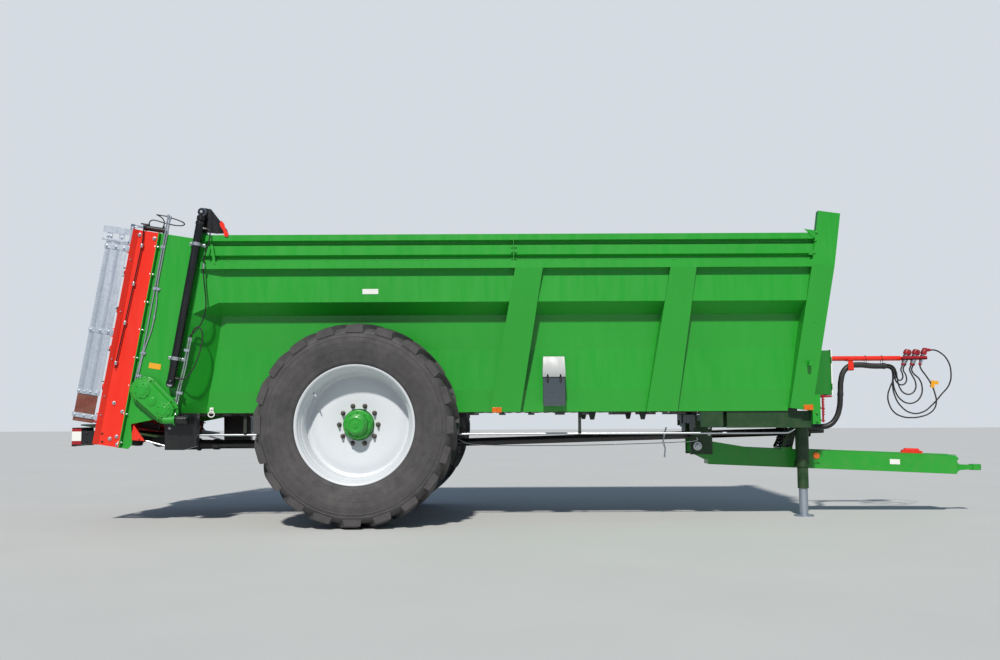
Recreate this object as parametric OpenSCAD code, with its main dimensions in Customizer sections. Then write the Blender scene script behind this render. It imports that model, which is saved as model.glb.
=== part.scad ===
// Single-axle rear-discharge manure spreader, in millimetres.
// +X points forward to the towing eye, +Y to the left, +Z up. Z is 0 on the ground.
// Lengths along X are first counted from the axle, then the whole is shifted by x_mid.

/* [Wheels] */
// Outer diameter over the tips of the tread lugs
tyre_d = 1900; // [1850:10:1950]
// Width of the tyre at its widest
tyre_w = 590; // [560:10:600]
// Diameter of the rim's flange
rim_d = 1118; // [1110:2:1126]
// Distance between the middles of the two tyres
track = 2150; // [2130:10:2200]

/* [Hopper] */
// Height of the lower edge of the side walls
wall_z = 1065; // [1060:1:1070]
// Height of the floor that the chains drag over
floor_z = 1200; // [1195:1:1210]
// Height of the top of the bolted side boards
board_z = 2780; // [2770:5:2800]
// Place of the wall's lower rear corner
rear_x = -1773; // [-1780:1:-1765]
// Place of the wall's lower front corner
front_x = 4370; // [4350:1:4390]
// Forward lean of the rear end and of the spreading unit, in degrees
rear_lean = 9; // [8:0.5:10]
// Forward lean of the front wall, in degrees
front_lean = 7.9; // [7:0.1:8.5]
// Thickness of the steel sheet of the walls
sheet_t = 6; // [4:1:8]

/* [Spreading unit] */
// Half of the unit's width over its side plates
unit_y = 991; // [985:1:995]
// Radius to the tips of the knives
beater_r = 400; // [380:5:405]
// Distance of each beater's axis from the middle
beater_y = 480; // [470:5:490]
// Place of the beaters' axes behind the hopper, square to the lean
beater_u = -560; // [-565:1:-555]
// Depth of the hinged side flaps
flap_w = 240; // [220:5:245]

/* [Drawbar and jack] */
// Front end of the towing eye
eye_x = 6360; // [6300:5:6400]
// Bore of the towing eye
eye_bore = 51; // [50:1:52]
// Place of the parking jack along the machine
jack_x = 4410; // [4400:5:4420]
// Place of the parking jack to the side
jack_y = -285; // [-300:5:-280]

/* [Hidden] */
$fn = 48;

unit_tail_x = -2742;
x_mid = (eye_x + unit_tail_x) / 2;
hub_z = tyre_d / 2;
wheel_y = track / 2;

// Hopper cross-section on the left: columns are distance from the middle, height.
wall_path = [[720, wall_z], [740, 1280], [740, 1675], [765, 2017], [950, 2129], [950, 2448]];
wall_inner = [
    [944, 2448], [944, 2133], [759, 2021], [734, 1677], [734, 1280], [714, wall_z]
];
flange_y = 1020;
flange_z0 = 2448;
flange_z1 = 2519;
board_y = 1010;

green = "#2E9A34";
dark = "#202422";
zinc = "#AEB6BE";
orange_red = "#F53A1E";
red = "#B3001A";
rubber = "#3A3836";
silver = "#D8DCE4";

module placed() translate([-x_mid, 0, 0]) children();

module both_sides() {
    children();
    mirror([0, 1, 0]) children();
}

// Frame of the leaning rear end: its x runs forward, its z up along the lean.
module at_rear() translate([rear_x, 0, wall_z]) rotate([0, rear_lean, 0]) children();

// Frame of the leaning front wall, with x = 0 on the front posts' front face.
module at_front() translate([front_x, 0, wall_z]) rotate([0, front_lean, 0]) children();

// A flat outline of (y, z) points drawn out along X.
module along_x(x0, x1) {
    translate([x0, 0, 0]) rotate([90, 0, 90]) linear_extrude(x1 - x0) children();
}

// A flat outline of (x, z) points drawn out along Y.
module along_y(y0, y1) {
    translate([0, y1, 0]) rotate([90, 0, 0]) linear_extrude(y1 - y0) children();
}

module block(x0, x1, y0, y1, z0, z1) {
    translate([x0, y0, z0]) cube([x1 - x0, y1 - y0, z1 - z0]);
}

// A round bar between two points.
module bar(a, b, d) {
    v = b - a;
    length = norm(v);
    tilt = acos(v[2] / length);
    turn = atan2(v[1], v[0]);
    translate(a) rotate([0, tilt, turn]) cylinder(d = d, h = length);
}

function lean_w(z, lean) = (z - wall_z) / cos(lean);

// Hopper side walls

fold_u = 220;

module wall_section() polygon(concat(wall_path, wall_inner));

module flange_section() {
    polygon([
        [944, flange_z0], [flange_y, flange_z0], [flange_y, flange_z1], [944, flange_z1],
        [944, flange_z1 - sheet_t], [flange_y - sheet_t, flange_z1 - sheet_t],
        [flange_y - sheet_t, flange_z0 + sheet_t], [944, flange_z0 + sheet_t]
    ]);
}

// One stretch of the cross-section between two of its corners.
module wall_stretch(i) {
    last = len(wall_inner) - 1;
    polygon([wall_path[i], wall_path[i + 1], wall_inner[last - i - 1], wall_inner[last - i]]);
}

// Rear stretch of the wall, where it widens to the spreading unit.
module flare(i) {
    w0 = lean_w(wall_path[i][1], rear_lean);
    w1 = lean_w(wall_path[i + 1][1], rear_lean);
    hull() {
        intersection() {
            along_x(rear_x - 100, rear_x + 800) wall_stretch(i);
            at_rear() block(fold_u, fold_u + 1, 0, 1100, -100, 1900);
        }
        at_rear() block(0, 1, unit_y - 12, unit_y - 6, w0, w1);
    }
}

module side_wall() {
    intersection() {
        along_x(rear_x, front_x + 400) wall_section();
        at_rear() block(fold_u, 7000, 0, 1100, -100, 3200);
        at_front() block(-7000, -post_w, 0, 1100, -900, 2200);
    }
    intersection() {
        along_x(rear_x, front_x + 400) flange_section();
        at_rear() block(0, 7000, 0, 1100, -100, 3200);
        at_front() block(-7000, -post_w, 0, 1100, -900, 2200);
    }
    for (i = [0 : len(wall_path) - 2]) flare(i);
}

module side_wall_right() color(green) placed() mirror([0, 1, 0]) side_wall();
module side_wall_left() color(green) placed() side_wall();

// Side posts: columns are bottom place, bottom width, top place, top width.
posts = [[1237, 293, 1486, 266], [2759, 301, 2983, 250]];
post_t = 5;
post_foot_y = 800;

module post_outline(grow) {
    polygon(concat(
        [[post_foot_y - grow, wall_z], [flange_y - grow, flange_z0]],
        [for (i = [len(wall_path) - 1 : -1 : 0]) [wall_path[i][0], wall_path[i][1] - 0.01]]
    ));
}

module post_side(post, inset) {
    along_y(0, 1200) polygon([
        [post[0] + inset, wall_z - 1], [post[0] + post[1] - inset, wall_z - 1],
        [post[2] + post[3] - inset, flange_z0 + 1], [post[2] + inset, flange_z0 + 1]
    ]);
}

module side_posts() {
    color(green) placed() both_sides() for (post = posts) difference() {
        intersection() {
            along_x(0, front_x) post_outline(0);
            post_side(post, 0);
        }
        intersection() {
            along_x(0, front_x) post_outline(post_t);
            post_side(post, post_t);
        }
    }
}

// Side boards, bolted on the walls' top flange
board_path = [
    [950, flange_z1], [950, 2566], [988, 2584], [988, 2672], [950, 2688], [950, 2714],
    [board_y, 2722], [board_y, board_z]
];
board_inner = [
    [944, board_z], [944, board_z - 5], [board_y - 6, board_z - 5], [board_y - 6, 2728],
    [944, 2719], [944, 2683], [982, 2668], [982, 2588], [944, 2570], [944, flange_z1]
];

module side_boards() {
    color(green) placed() both_sides() intersection() {
        along_x(rear_x, front_x + 400) polygon(concat(board_path, board_inner));
        at_rear() block(0, 7000, 0, 1100, -100, 3200);
        at_front() block(-7000, -post_w, 0, 1100, -900, 2200);
    }
}

// Floor

deck_y = 726;
deck_t = 6;
deck_u0 = 75;
bearer_w = 64;
cross_pitch = 620;
cross_count = 9;

module floor_deck() {
    color(green) placed() difference() {
        intersection() {
            block(rear_x, front_x, -deck_y, deck_y, floor_z, floor_z + deck_t);
            at_rear() block(deck_u0, 7000, -1100, 1100, -100, 3200);
            at_front() block(-7000, -wall_u, -1100, 1100, -900, 2200);
        }
        both_sides() for (y = chain_lanes) {
            block(idler_x - 70, idler_x + 95, y - 16, y + 16, floor_z - 1, floor_z + 10);
        }
    }
}

module floor_bearers() {
    color(dark) placed() {
        both_sides() intersection() {
            along_x(rear_x, front_x) difference() {
                polygon([
                    [650, wall_z], [714, wall_z], [726, floor_z], [650, floor_z]
                ]);
                translate([656, wall_z + 6]) square([52, floor_z - wall_z - 12]);
            }
            at_rear() block(deck_u0, 7000, 0, 1100, -100, 3200);
            at_front() block(-7000, -wall_u, 0, 1100, -900, 2200);
        }
        for (i = [0 : cross_count - 1]) {
            block(-1400 + i * cross_pitch, -1340 + i * cross_pitch, -650, 650,
                  floor_z - 90, floor_z);
        }
    }
}

// Floor chains: two lanes, each with two chains, in one fixed loop
shaft_x = -1800;
shaft_d = 60;
idler_x = 4090;
chain_r = 75;
chain_t = 16;
shaft_z = floor_z + deck_t + chain_t / 2 - chain_r + 1;
chain_lanes = [100, 600];
slat_w = 50;
slat_h = 22;
slat_pitch = 300;
slat_count = 19;

module floor_chains() {
    color(zinc) placed() both_sides() for (y = chain_lanes) {
        along_y(y - 9, y + 9) difference() {
            stadium(chain_r + chain_t / 2);
            stadium(chain_r - chain_t / 2);
        }
    }
}

module stadium(r) {
    translate([shaft_x, shaft_z]) circle(r = r);
    translate([idler_x, shaft_z]) circle(r = r);
    translate([shaft_x, shaft_z - r]) square([idler_x - shaft_x, 2 * r]);
}

module floor_slats() {
    color(zinc) placed() both_sides() for (i = [0 : slat_count - 1]) {
        x = shaft_x + 120 + i * slat_pitch;
        top = shaft_z + chain_r + chain_t / 2;
        block(x, x + slat_w, 60, 640, top, top + slat_h);
        bottom = shaft_z - chain_r - chain_t / 2;
        block(x, x + slat_w, 60, 640, bottom - slat_h, bottom);
    }
}

module apron_shaft() {
    color(dark) placed() {
        translate([shaft_x, unit_y + 12, shaft_z]) rotate([90, 0, 0])
            cylinder(d = shaft_d, h = unit_y + 12 - case_y1);
        both_sides() translate([shaft_x, unit_y + 22, shaft_z]) rotate([90, 0, 0])
            cylinder(d = 130, h = 22);
        translate([idler_x, 650, shaft_z]) rotate([90, 0, 0]) cylinder(d = 50, h = 1300);
        both_sides() for (y = chain_lanes, x = [shaft_x, idler_x]) {
            translate([x, y + 12, shaft_z]) rotate([90, 0, 0])
                cylinder(r = chain_r - chain_t / 2, h = 24);
        }
    }
}

// Apron drive on the right: lobes of the gear case, columns are x, z, radius.
gear_case = [[-2040, 1280, 125], [-1835, 1090, 115]];
motor_x0 = -1722;
motor_z = 1002;
motor_y = -1080;
case_y0 = -1120;
case_y1 = -1040;

module apron_gearbox() {
    color(green) placed() {
        hull() for (lobe = gear_case) {
            translate([lobe[0], case_y1, lobe[1]]) rotate([90, 0, 0])
                cylinder(r = lobe[2], h = case_y1 - case_y0, $fn = 32);
        }
        for (lobe = gear_case) translate([lobe[0], case_y0 + 1, lobe[1]]) rotate([90, 0, 0])
            cylinder(r = lobe[2] * 0.65, h = 18);
        translate([-1860, motor_y, motor_z]) rotate([0, 90, 0])
            cylinder(d = 76, h = motor_x0 + 1860);
        block(-2010, -1930, case_y1, -unit_y, 1230, 1290);
    }
}

module apron_motor() {
    color(dark) placed() {
        translate([motor_x0, motor_y, motor_z]) rotate([0, 90, 0]) cylinder(d = 92, h = 122);
    }
}

// Front wall and corner posts
post_w = 215;
wall_u = 120;
front_top = 2850;
ear_top = 2964;
rib_ys = [-560, -190, 190, 560];
rib_u = -40;

module front_outline(top) {
    w = function (z) lean_w(z, front_lean);
    polygon([
        [-733, w(floor_z + deck_t)], [-740, w(1280)], [-740, w(1677)], [-765, w(2019)],
        [-950, w(2131)], [-950, w(top)], [950, w(top)], [950, w(2131)], [765, w(2019)],
        [740, w(1677)], [740, w(1280)], [733, w(floor_z + deck_t)]
    ]);
}

module front_wall() {
    color(green) placed() at_front() {
        along_x(-wall_u, -wall_u + sheet_t) front_outline(front_top);
        for (y = rib_ys) block(-wall_u + sheet_t - 1, rib_u, y - 40, y + 40,
                               lean_w(1220, front_lean), lean_w(2770, front_lean));
        block(-wall_u + sheet_t - 1, -30, -950, 950,
              lean_w(2760, front_lean), lean_w(front_top, front_lean));
    }
}

module front_posts() {
    w = function (z) lean_w(z, front_lean);
    color(green) placed() both_sides() at_front() difference() {
        along_x(-post_w, 0) polygon([
            [720, w(wall_z)], [740, w(1280)], [740, w(1675)], [765, w(2017)],
            [950, w(2129)], [950, w(ear_top)], [flange_y, w(ear_top)],
            [flange_y, w(flange_z0)], [post_foot_y, w(wall_z)]
        ]);
        along_x(-post_w + 6, -6) polygon([
            [726, w(wall_z) - 1], [746, w(1280)], [746, w(1675)], [771, w(2013)],
            [956, w(2125)], [956, w(ear_top) - 6], [flange_y - 6, w(ear_top) - 6],
            [flange_y - 6, w(flange_z0)], [post_foot_y - 6, w(wall_z) - 1]
        ]);
    }
}

// Underframe

sub_z0 = 900;
sub_z1 = 1030;
sub_rail_y = 420;

module subframe() {
    color(green) placed() {
        both_sides() {
            block(3290, 4440, sub_rail_y - 50, sub_rail_y + 50, sub_z0, sub_z1);
            block(3560, 4410, 690, 702, sub_z0, wall_z);
            block(3300, 3520, 700, 712, 910, wall_z);
        }
        for (x = [3300, 4240]) {
            block(x, x + 100, -702, 702, sub_z1 - 60, sub_z1);
            both_sides() block(x, x + 100, 655, 702, sub_z1 - 1, wall_z);
        }
        block(3300, 3400, -sub_rail_y + 50, sub_rail_y - 50, 940, sub_z1);
        block(4240, 4340, -sub_rail_y + 50, sub_rail_y - 50, 920, sub_z1);
    }
}

beam_s = 150;
beam_y = 706;
spindle_d = 100;
spindle_y = 1010;

module axle_beam() {
    color(green) placed() {
        block(-beam_s / 2, beam_s / 2, -beam_y, beam_y, hub_z - beam_s / 2,
              hub_z + beam_s / 2);
        both_sides() {
            translate([0, beam_y - 1, hub_z]) rotate([-90, 0, 0])
                cylinder(d = spindle_d, h = spindle_y - beam_y + 1);
            translate([0, beam_y - 1, hub_z]) rotate([-90, 0, 0]) cylinder(d = 130, h = 90);
            translate([0, 796, hub_z]) rotate([-90, 0, 0]) cylinder(r = 205, h = 12);
            block(-230, 230, 655, beam_y, hub_z - beam_s / 2 - 15, hub_z - beam_s / 2);
            for (x = [-230, 150]) block(x, x + 80, 655, beam_y, hub_z - beam_s / 2 - 1, wall_z);
        }
    }
}

// Gate and its guides

guide_u0 = -104;
gate_u0 = -88;
gate_u1 = -14;
gate_w0 = 165;
gate_w1 = 1690;
guide_top = gate_w1 + 65;

module gate_guides() {
    color(green) placed() both_sides() difference() {
        at_rear() linear_extrude(guide_top) polygon([
            [0, 945], [0, unit_y], [guide_u0, unit_y], [guide_u0, 945], [guide_u0 + 8, 945],
            [guide_u0 + 8, unit_y - 8], [-8, unit_y - 8], [-8, 945]
        ]);
        translate([shaft_x, 1100, shaft_z]) rotate([90, 0, 0]) cylinder(d = shaft_d, h = 200);
    }
}

module gate() {
    color(green) placed() at_rear() {
        block(gate_u1 - 6, gate_u1, -975, 975, gate_w0, gate_w1);
        for (w = [gate_w0, 560, 940, 1320, gate_w1 - 60]) {
            block(gate_u0, gate_u1 - 6, -935, 935, w, w + 60);
        }
        for (y = [-975, 935]) block(gate_u0, gate_u1 - 6, y, y + 40, gate_w0, gate_w1);
    }
}

rod_y = 1052;
rod_u = -60;
rod_eye_w = guide_top + 190;
gland_w = rod_eye_w - 95;
barrel_w0 = 300;
arm_t = 12;
arm_y0 = 1000;
rod_eye_t = 44;

module gate_arms() {
    color(dark) placed() at_rear() {
        block(-88, -14, -935, 935, gate_w1, gate_w1 + 70);
        both_sides() {
            block(-88, -14, 935, 975, gate_w1, gate_w1 + 70);
            block(-88, -14, 975, 1008, guide_top + 5, guide_top + 70);
            block(-88, -14, 935, 975, gate_w1 + 70, guide_top + 70);
            along_y(arm_y0, arm_y0 + arm_t) polygon([
                [-88, guide_top + 5], [100, guide_top + 12], [200, guide_top + 30],
                [195, guide_top + 60], [0, rod_eye_w + 50], [-88, rod_eye_w + 50]
            ]);
            translate([rod_u, rod_y - rod_eye_t / 2, rod_eye_w]) rotate([90, 0, 0])
                cylinder(d = 36, h = rod_y - rod_eye_t / 2 - arm_y0 - arm_t);
        }
    }
}

module gate_rods() {
    color(silver) placed() both_sides() at_rear() {
        translate([rod_u, rod_y, barrel_w0 + 120])
            cylinder(d = 40, h = rod_eye_w - 30 - barrel_w0 - 120);
        translate([rod_u, rod_y + rod_eye_t / 2, rod_eye_w]) rotate([90, 0, 0])
            cylinder(d = 80, h = rod_eye_t);
    }
}

module gate_barrels() {
    color(dark) placed() both_sides() at_rear() translate([rod_u, rod_y, 0]) {
        difference() {
            translate([0, 0, barrel_w0]) cylinder(d = 80, h = gland_w - barrel_w0);
            translate([0, 0, barrel_w0 + 40]) cylinder(d = 42, h = gland_w);
        }
        translate([0, 30, barrel_w0 - 30]) rotate([90, 0, 0]) cylinder(d = 70, h = 60);
        block(-20, 20, unit_y - rod_y, -30, barrel_w0 - 50, barrel_w0 - 10);
        for (w = [500, 1450]) block(-12, 12, unit_y - rod_y, -38, w, w + 30);
    }
}

// Spreading unit

unit_top = gate_w1;
unit_foot = -400;
head_w = unit_top - 70;
green_u = -450;
adapter_u = -700;
flange_out = 1031;

module unit_sides() {
    color(green) placed() both_sides() at_rear() translate([0, 0, unit_foot]) {
        linear_extrude(unit_top - unit_foot) polygon([
            [guide_u0, unit_y - 6], [guide_u0, unit_y], [green_u + 8, unit_y],
            [green_u + 8, flange_out], [green_u, flange_out], [green_u, unit_y - 6]
        ]);
    }
}

module adapter_frames() {
    color(orange_red) placed() both_sides() at_rear() {
        translate([0, 0, unit_foot]) linear_extrude(unit_top - unit_foot) polygon([
            [green_u, unit_y - 6], [green_u, flange_out], [green_u - 8, flange_out],
            [green_u - 8, unit_y], [adapter_u + 46, unit_y], [adapter_u + 6, flange_out],
            [adapter_u, flange_out - 4], [adapter_u + 42, unit_y - 6]
        ]);
        for (w = hinge_ws) translate([hinge_u, hinge_y, w]) {
            translate([0, 0, -12]) cylinder(d = 16, h = 84);
            for (side = [-12, 64]) block(-10, 40, -10, 10, side, side + 8);
        }
    }
}

module top_beam() {
    color(orange_red) placed() at_rear() difference() {
        block(adapter_u + 50, -400, -unit_y + 6, unit_y - 6, head_w, unit_top);
        for (y = [-beater_y, beater_y]) translate([beater_u, y, head_w - 1])
            cylinder(d = beater_pin_d + 0.1, h = 52);
    }
}

module beater_tray() {
    color(green) placed() at_rear() difference() {
        block(-860, -120, -unit_y + 6, unit_y - 6, tray_w0, tray_w0 + 12);
        for (y = [-beater_y, beater_y]) translate([beater_u, y, tray_w0 - 1])
            cylinder(d = 130, h = 14);
    }
}

tray_w0 = -250;
beater_pin_d = 60;
beater_foot_d = 80;

module unit_gearbox() {
    color(dark) placed() {
        at_rear() {
            for (y = [-beater_y, beater_y]) difference() {
                translate([beater_u, y, tray_w0 - 150]) cylinder(d = 260, h = 150);
                translate([beater_u, y, tray_w0 - 60]) cylinder(d = beater_foot_d + 0.1, h = 61);
            }
            block(beater_u - 60, beater_u + 60, -352, 352, tray_w0 - 130, tray_w0 - 30);
            block(beater_u + 59, beater_u + 280, -90, 90, tray_w0 - 140, tray_w0);
        }
        difference() {
            translate([-2100, 0, shaft_low_z]) rotate([0, 90, 0]) cylinder(d = 110, h = 395);
            translate([-1800, 0, shaft_low_z]) rotate([0, 90, 0])
                cylinder(d = shaft_end_d + 0.1, h = 96);
        }
    }
}

flight_turns = 2.2;
flight_t = 12;
flight_r = 355;
core_d = 170;
beater_foot = tray_w0 + 30;
flight_w0 = beater_foot + 12;
core_w1 = head_w - 80;
flight_w1 = core_w1 - 40;
flight_steps = 40;

// One helical flight: a ring of four corners at each step, joined to the next.
module flight(start) {
    rise = (flight_w1 - flight_w0 - flight_t) / flight_steps;
    turn = 360 * flight_turns / flight_steps;
    points = [for (i = [0 : flight_steps], c = [0 : 3])
        let (a = start + turn * i, r = (c == 0 || c == 3) ? core_d / 2 - 5 : flight_r)
        [r * cos(a), r * sin(a), flight_w0 + rise * i + (c > 1 ? flight_t : 0)]
    ];
    sides = [for (i = [0 : flight_steps - 1], c = [0 : 3], half = [0, 1])
        let (a = 4 * i + c, b = 4 * i + (c + 1) % 4)
        half == 0 ? [a, b, b + 4] : [a, b + 4, a + 4]
    ];
    last = 4 * flight_steps;
    ends = [[0, 3, 2, 1], [last, last + 1, last + 2, last + 3]];
    polyhedron(points, concat(sides, ends));
}

module beater() {
    translate([0, 0, tray_w0 - 55]) cylinder(d = beater_foot_d, h = 90);
    translate([0, 0, beater_foot]) cylinder(r = beater_r - 10, h = 12);
    difference() {
        translate([0, 0, beater_foot + 12]) cylinder(d = core_d, h = core_w1 - beater_foot - 12);
        translate([0, 0, beater_foot + 20])
            cylinder(d = core_d - 20, h = core_w1 - 40 - beater_foot);
    }
    translate([0, 0, core_w1 - 5]) cylinder(d = beater_pin_d, h = head_w + 50 - core_w1);
    for (start = [0, 180]) flight(start);
}

module beater_right() {
    color(orange_red) placed() at_rear() translate([beater_u, -beater_y, 0]) beater();
}

module beater_left() {
    color(orange_red) placed() at_rear() translate([beater_u, beater_y, 0])
        mirror([0, 1, 0]) beater();
}

// Side flaps, hinged at the rear edge of the unit
hinge_u = -712;
hinge_y = 1006;
flap_w0 = -210;
flap_w1 = unit_top - 150;
hinge_ws = [flap_w0 + 30, (flap_w0 + flap_w1) / 2 - 25, flap_w1 - 80];
lever_w = unit_top + 10;
lever_r = 90;
lever_turn = 25;

module flap() {
    translate([hinge_u, hinge_y, 0]) {
        block(-flap_w, -18, -3, 3, flap_w0, flap_w1);
        block(-flap_w, -flap_w + 5, -40, -3, flap_w0, flap_w1);
        for (w = hinge_ws) difference() {
            union() {
                translate([0, 0, w]) cylinder(d = 28, h = 60);
                block(-40, 0, -3, 3, w, w + 60);
            }
            translate([0, 0, w - 1]) cylinder(d = 16.1, h = 62);
        }
        translate([0, 0, hinge_ws[2] + 74]) cylinder(d = 26, h = lever_w - hinge_ws[2] - 64);
        block(-40, 0, -3, 3, hinge_ws[2] + 75, flap_w1);
        translate([0, 0, lever_w]) linear_extrude(10) polygon([
            [-14, 12], [14, 12],
            [-lever_r * sin(lever_turn) + 20, -lever_r * cos(lever_turn) - 12],
            [-lever_r * sin(lever_turn) - 20, -lever_r * cos(lever_turn) - 12]
        ]);
        translate([-lever_r * sin(lever_turn), -lever_r * cos(lever_turn), lever_w + 9])
            cylinder(d = 16, h = 40);
    }
}

module flap_right() color(zinc) placed() at_rear() mirror([0, 1, 0]) flap();
module flap_left() color(zinc) placed() at_rear() flap();

cyl_y = hinge_y - 86;
cyl_w = unit_top + 40;
cyl_base_u = -430;
flap_eye_u = hinge_u - lever_r * sin(lever_turn);

module flap_rod() {
    translate([flap_eye_u + 18, cyl_y, cyl_w]) rotate([0, 90, 0]) cylinder(d = 22, h = 180);
    difference() {
        translate([flap_eye_u, cyl_y, cyl_w - 14]) cylinder(d = 44, h = 28);
        translate([flap_eye_u, cyl_y, cyl_w - 15]) cylinder(d = 27, h = 30);
    }
}

module flap_rod_right() color(silver) placed() at_rear() mirror([0, 1, 0]) flap_rod();
module flap_rod_left() color(silver) placed() at_rear() flap_rod();

module flap_barrels() {
    color(dark) placed() both_sides() at_rear() translate([0, cyl_y, cyl_w]) {
        difference() {
            translate([flap_eye_u + 120, 0, 0]) rotate([0, 90, 0])
                cylinder(d = 50, h = cyl_base_u - flap_eye_u - 120);
            translate([flap_eye_u + 110, 0, 0]) rotate([0, 90, 0])
                cylinder(d = 24, h = 190);
        }
        block(cyl_base_u - 15, cyl_base_u + 25, -20, 20, unit_top - cyl_w, 0);
    }
}

module lamp_boards() {
    color(red) placed() both_sides() {
        block(unit_tail_x, unit_tail_x + 105, 600, 985, 755, 932);
        block(unit_tail_x + 104, -2420, 970, 985, 770, 905);
    }
}

// Drive shaft below the floor
shaft_low_z = 742;
shaft_end_d = 50;
drive_rear = [535, 0, shaft_low_z];
drive_front = [4720, 0, 858];

// A point along the front drive shaft, 0 at its rear end and 1 at its front end.
function drive_at(part) = drive_rear + part * (drive_front - drive_rear);

// Bearings that hang from the floor and carry the drive shafts
module shaft_hangers() {
    color(dark) placed() {
        difference() {
            translate([468, 0, shaft_low_z]) rotate([0, 90, 0]) cylinder(d = 120, h = 44);
            translate([460, 0, shaft_low_z]) rotate([0, 90, 0])
                cylinder(d = shaft_end_d + 0.1, h = 60);
        }
        block(468, 512, -45, 45, shaft_low_z + 50, floor_z - 90);
        difference() {
            bar(drive_at(0.952), drive_at(0.965), 120);
            bar(drive_at(0.9), drive_at(1), shaft_end_d + 0.1);
        }
        block(4340, 4565, -45, 45, 905, 960);
    }
}

module drive_shaft_front() {
    color(dark) placed() {
        bar(drive_at(0), drive_at(0.945), 80);
        bar(drive_at(0.94), drive_at(1), shaft_end_d);
    }
}

module drive_shaft_rear() {
    color(dark) placed() {
        bar([-1700, 0, shaft_low_z], [462, 0, shaft_low_z], 90);
        bar([-1790, 0, shaft_low_z], [522, 0, shaft_low_z], shaft_end_d);
    }
}

// Drawbar

pivot_x = 3359;
pivot_z = 709;
beam_half = 110;
beam_x1 = 6000;

module drawbar() {
    color(green) placed() {
        difference() {
            along_y(-beam_half, beam_half) polygon([
                [3480, 520], [4489, 475], [beam_x1, 407], [beam_x1, 597], [4505, 660], [3480, 712]
            ]);
            along_y(-beam_half + 8, beam_half - 8) polygon([
                [3488, 528], [4489, 483], [beam_x1 - 8, 415], [beam_x1 - 8, 589], [4505, 652],
                [3488, 704]
            ]);
        }
        both_sides() difference() {
            along_y(beam_half - 1, beam_half + 20) polygon([
                [3300, 650], [3480, 560], [3900, 500], [3900, 690], [3420, 770], [3300, 770]
            ]);
            translate([pivot_x, 0, pivot_z]) rotate([-90, 0, 0]) cylinder(d = 50, h = 300);
        }
        block(4230, 4350, -150, 150, 662, 690);
    }
}

module drawbar_pivot() {
    color(green) placed() {
        both_sides() {
            block(3290, 3520, beam_half + 20, beam_half + 40, 620, 940);
            block(3290, 3305, beam_half + 39, sub_rail_y - 50, 800, 940);
        }
        translate([pivot_x, 190, pivot_z]) rotate([90, 0, 0]) cylinder(d = 50, h = 380);
    }
}

module drawbar_springs() {
    color(dark) placed() both_sides() translate([4290, 95, 0]) {
        translate([0, 0, 690]) cylinder(d = 88, h = 230);
    }
}

module tow_eye() {
    color(green) placed() difference() {
        union() {
            block(beam_x1 + 11, eye_x - 60, -45, 45, 440, 500);
            translate([eye_x - 60, 0, 440]) cylinder(d = 120, h = 60);
            block(beam_x1, beam_x1 + 12, -100, 100, 420, 585);
        }
        translate([eye_x - 60, 0, 400]) cylinder(d = eye_bore, h = 150);
    }
}

// Parking jack: a painted slide with a galvanised leg rises into a fixed sleeve.
sleeve_z0 = 500;
sleeve_z1 = 1001;
sleeve_d = 134;
slide_z0 = 281;
slide_z1 = 560;
slide_d = 110;
jack_leg_d = 88;
foot_d = 200;

module jack_tube() {
    color(green) placed() {
        translate([jack_x, jack_y, 0]) difference() {
            translate([0, 0, sleeve_z0]) cylinder(d = sleeve_d, h = sleeve_z1 - sleeve_z0);
            translate([0, 0, sleeve_z0 - 1])
                cylinder(d = slide_d + 0.1, h = sleeve_z1 - sleeve_z0 - 20);
        }
        block(jack_x - 40, jack_x + 40, -sub_rail_y + 50, jack_y - sleeve_d / 2 + 6,
              sub_z0, sleeve_z1 - 1);
    }
}

module jack_slide() {
    color(green) placed() translate([jack_x, jack_y, 0]) difference() {
        translate([0, 0, slide_z0]) cylinder(d = slide_d, h = slide_z1 - slide_z0);
        translate([0, 0, slide_z0 - 1]) cylinder(d = jack_leg_d + 0.1, h = slide_z1 - slide_z0 - 9);
    }
}

module jack_leg() {
    color(zinc) placed() translate([jack_x, jack_y, 0]) {
        cylinder(d = jack_leg_d, h = slide_z1 - 10);
        cylinder(d = foot_d, h = 12);
    }
}

module steel_pipes() {
    color(silver) placed() {
        for (y = [-640, -600]) bar([-1640, y, 850], [4200, y, 850], 20);
        for (x = [-1200, 900, 2100]) block(x, x + 30, -660, -580, 859, 872);
        for (x = [-1200, 900, 2100]) block(x, x + 30, -660, -652, 862, wall_z);
    }
}

arm_y = -190;

module hose_arm() {
    color(orange_red) placed() {
        bar([4420, arm_y, 1605], [5487, arm_y, 1605], 50);
        at_front() block(rib_u, rib_u + 16, arm_y - 45, arm_y + 45,
                         lean_w(1540, front_lean), lean_w(1680, front_lean));
    }
}

module coupling_rack() {
    color(red) placed() block(5487, 5743, arm_y - 60, arm_y + 60, 1585, 1625);
}

module tool_box() {
    color(zinc) placed() {
        block(1745, 1966, -960, -790, 1119, 1600);
        block(1785, 1926, -791, -740, 1320, 1560);
    }
}

module valve_cabinet() {
    color(green) placed() intersection() {
        block(4300, 4590, -730, -420, 1220, 1660);
        at_front() block(rib_u, 400, -1000, 0, -100, 1000);
    }
}

module ladder() {
    color(red) placed() {
        for (y = [-730, -450]) block(4490, 4510, y, y + 20, 950, 1220);
        for (z = [960, 1080, 1200]) block(4480, 4520, -729, -431, z, z + 20);
    }
}

// Wheels, drawn about their own axis with +Z outboard and z = 0 at the tyre's middle

bead_r = rim_d / 2 - 26;
tread_r = tyre_d / 2;
half_w = tyre_w / 2;

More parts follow.
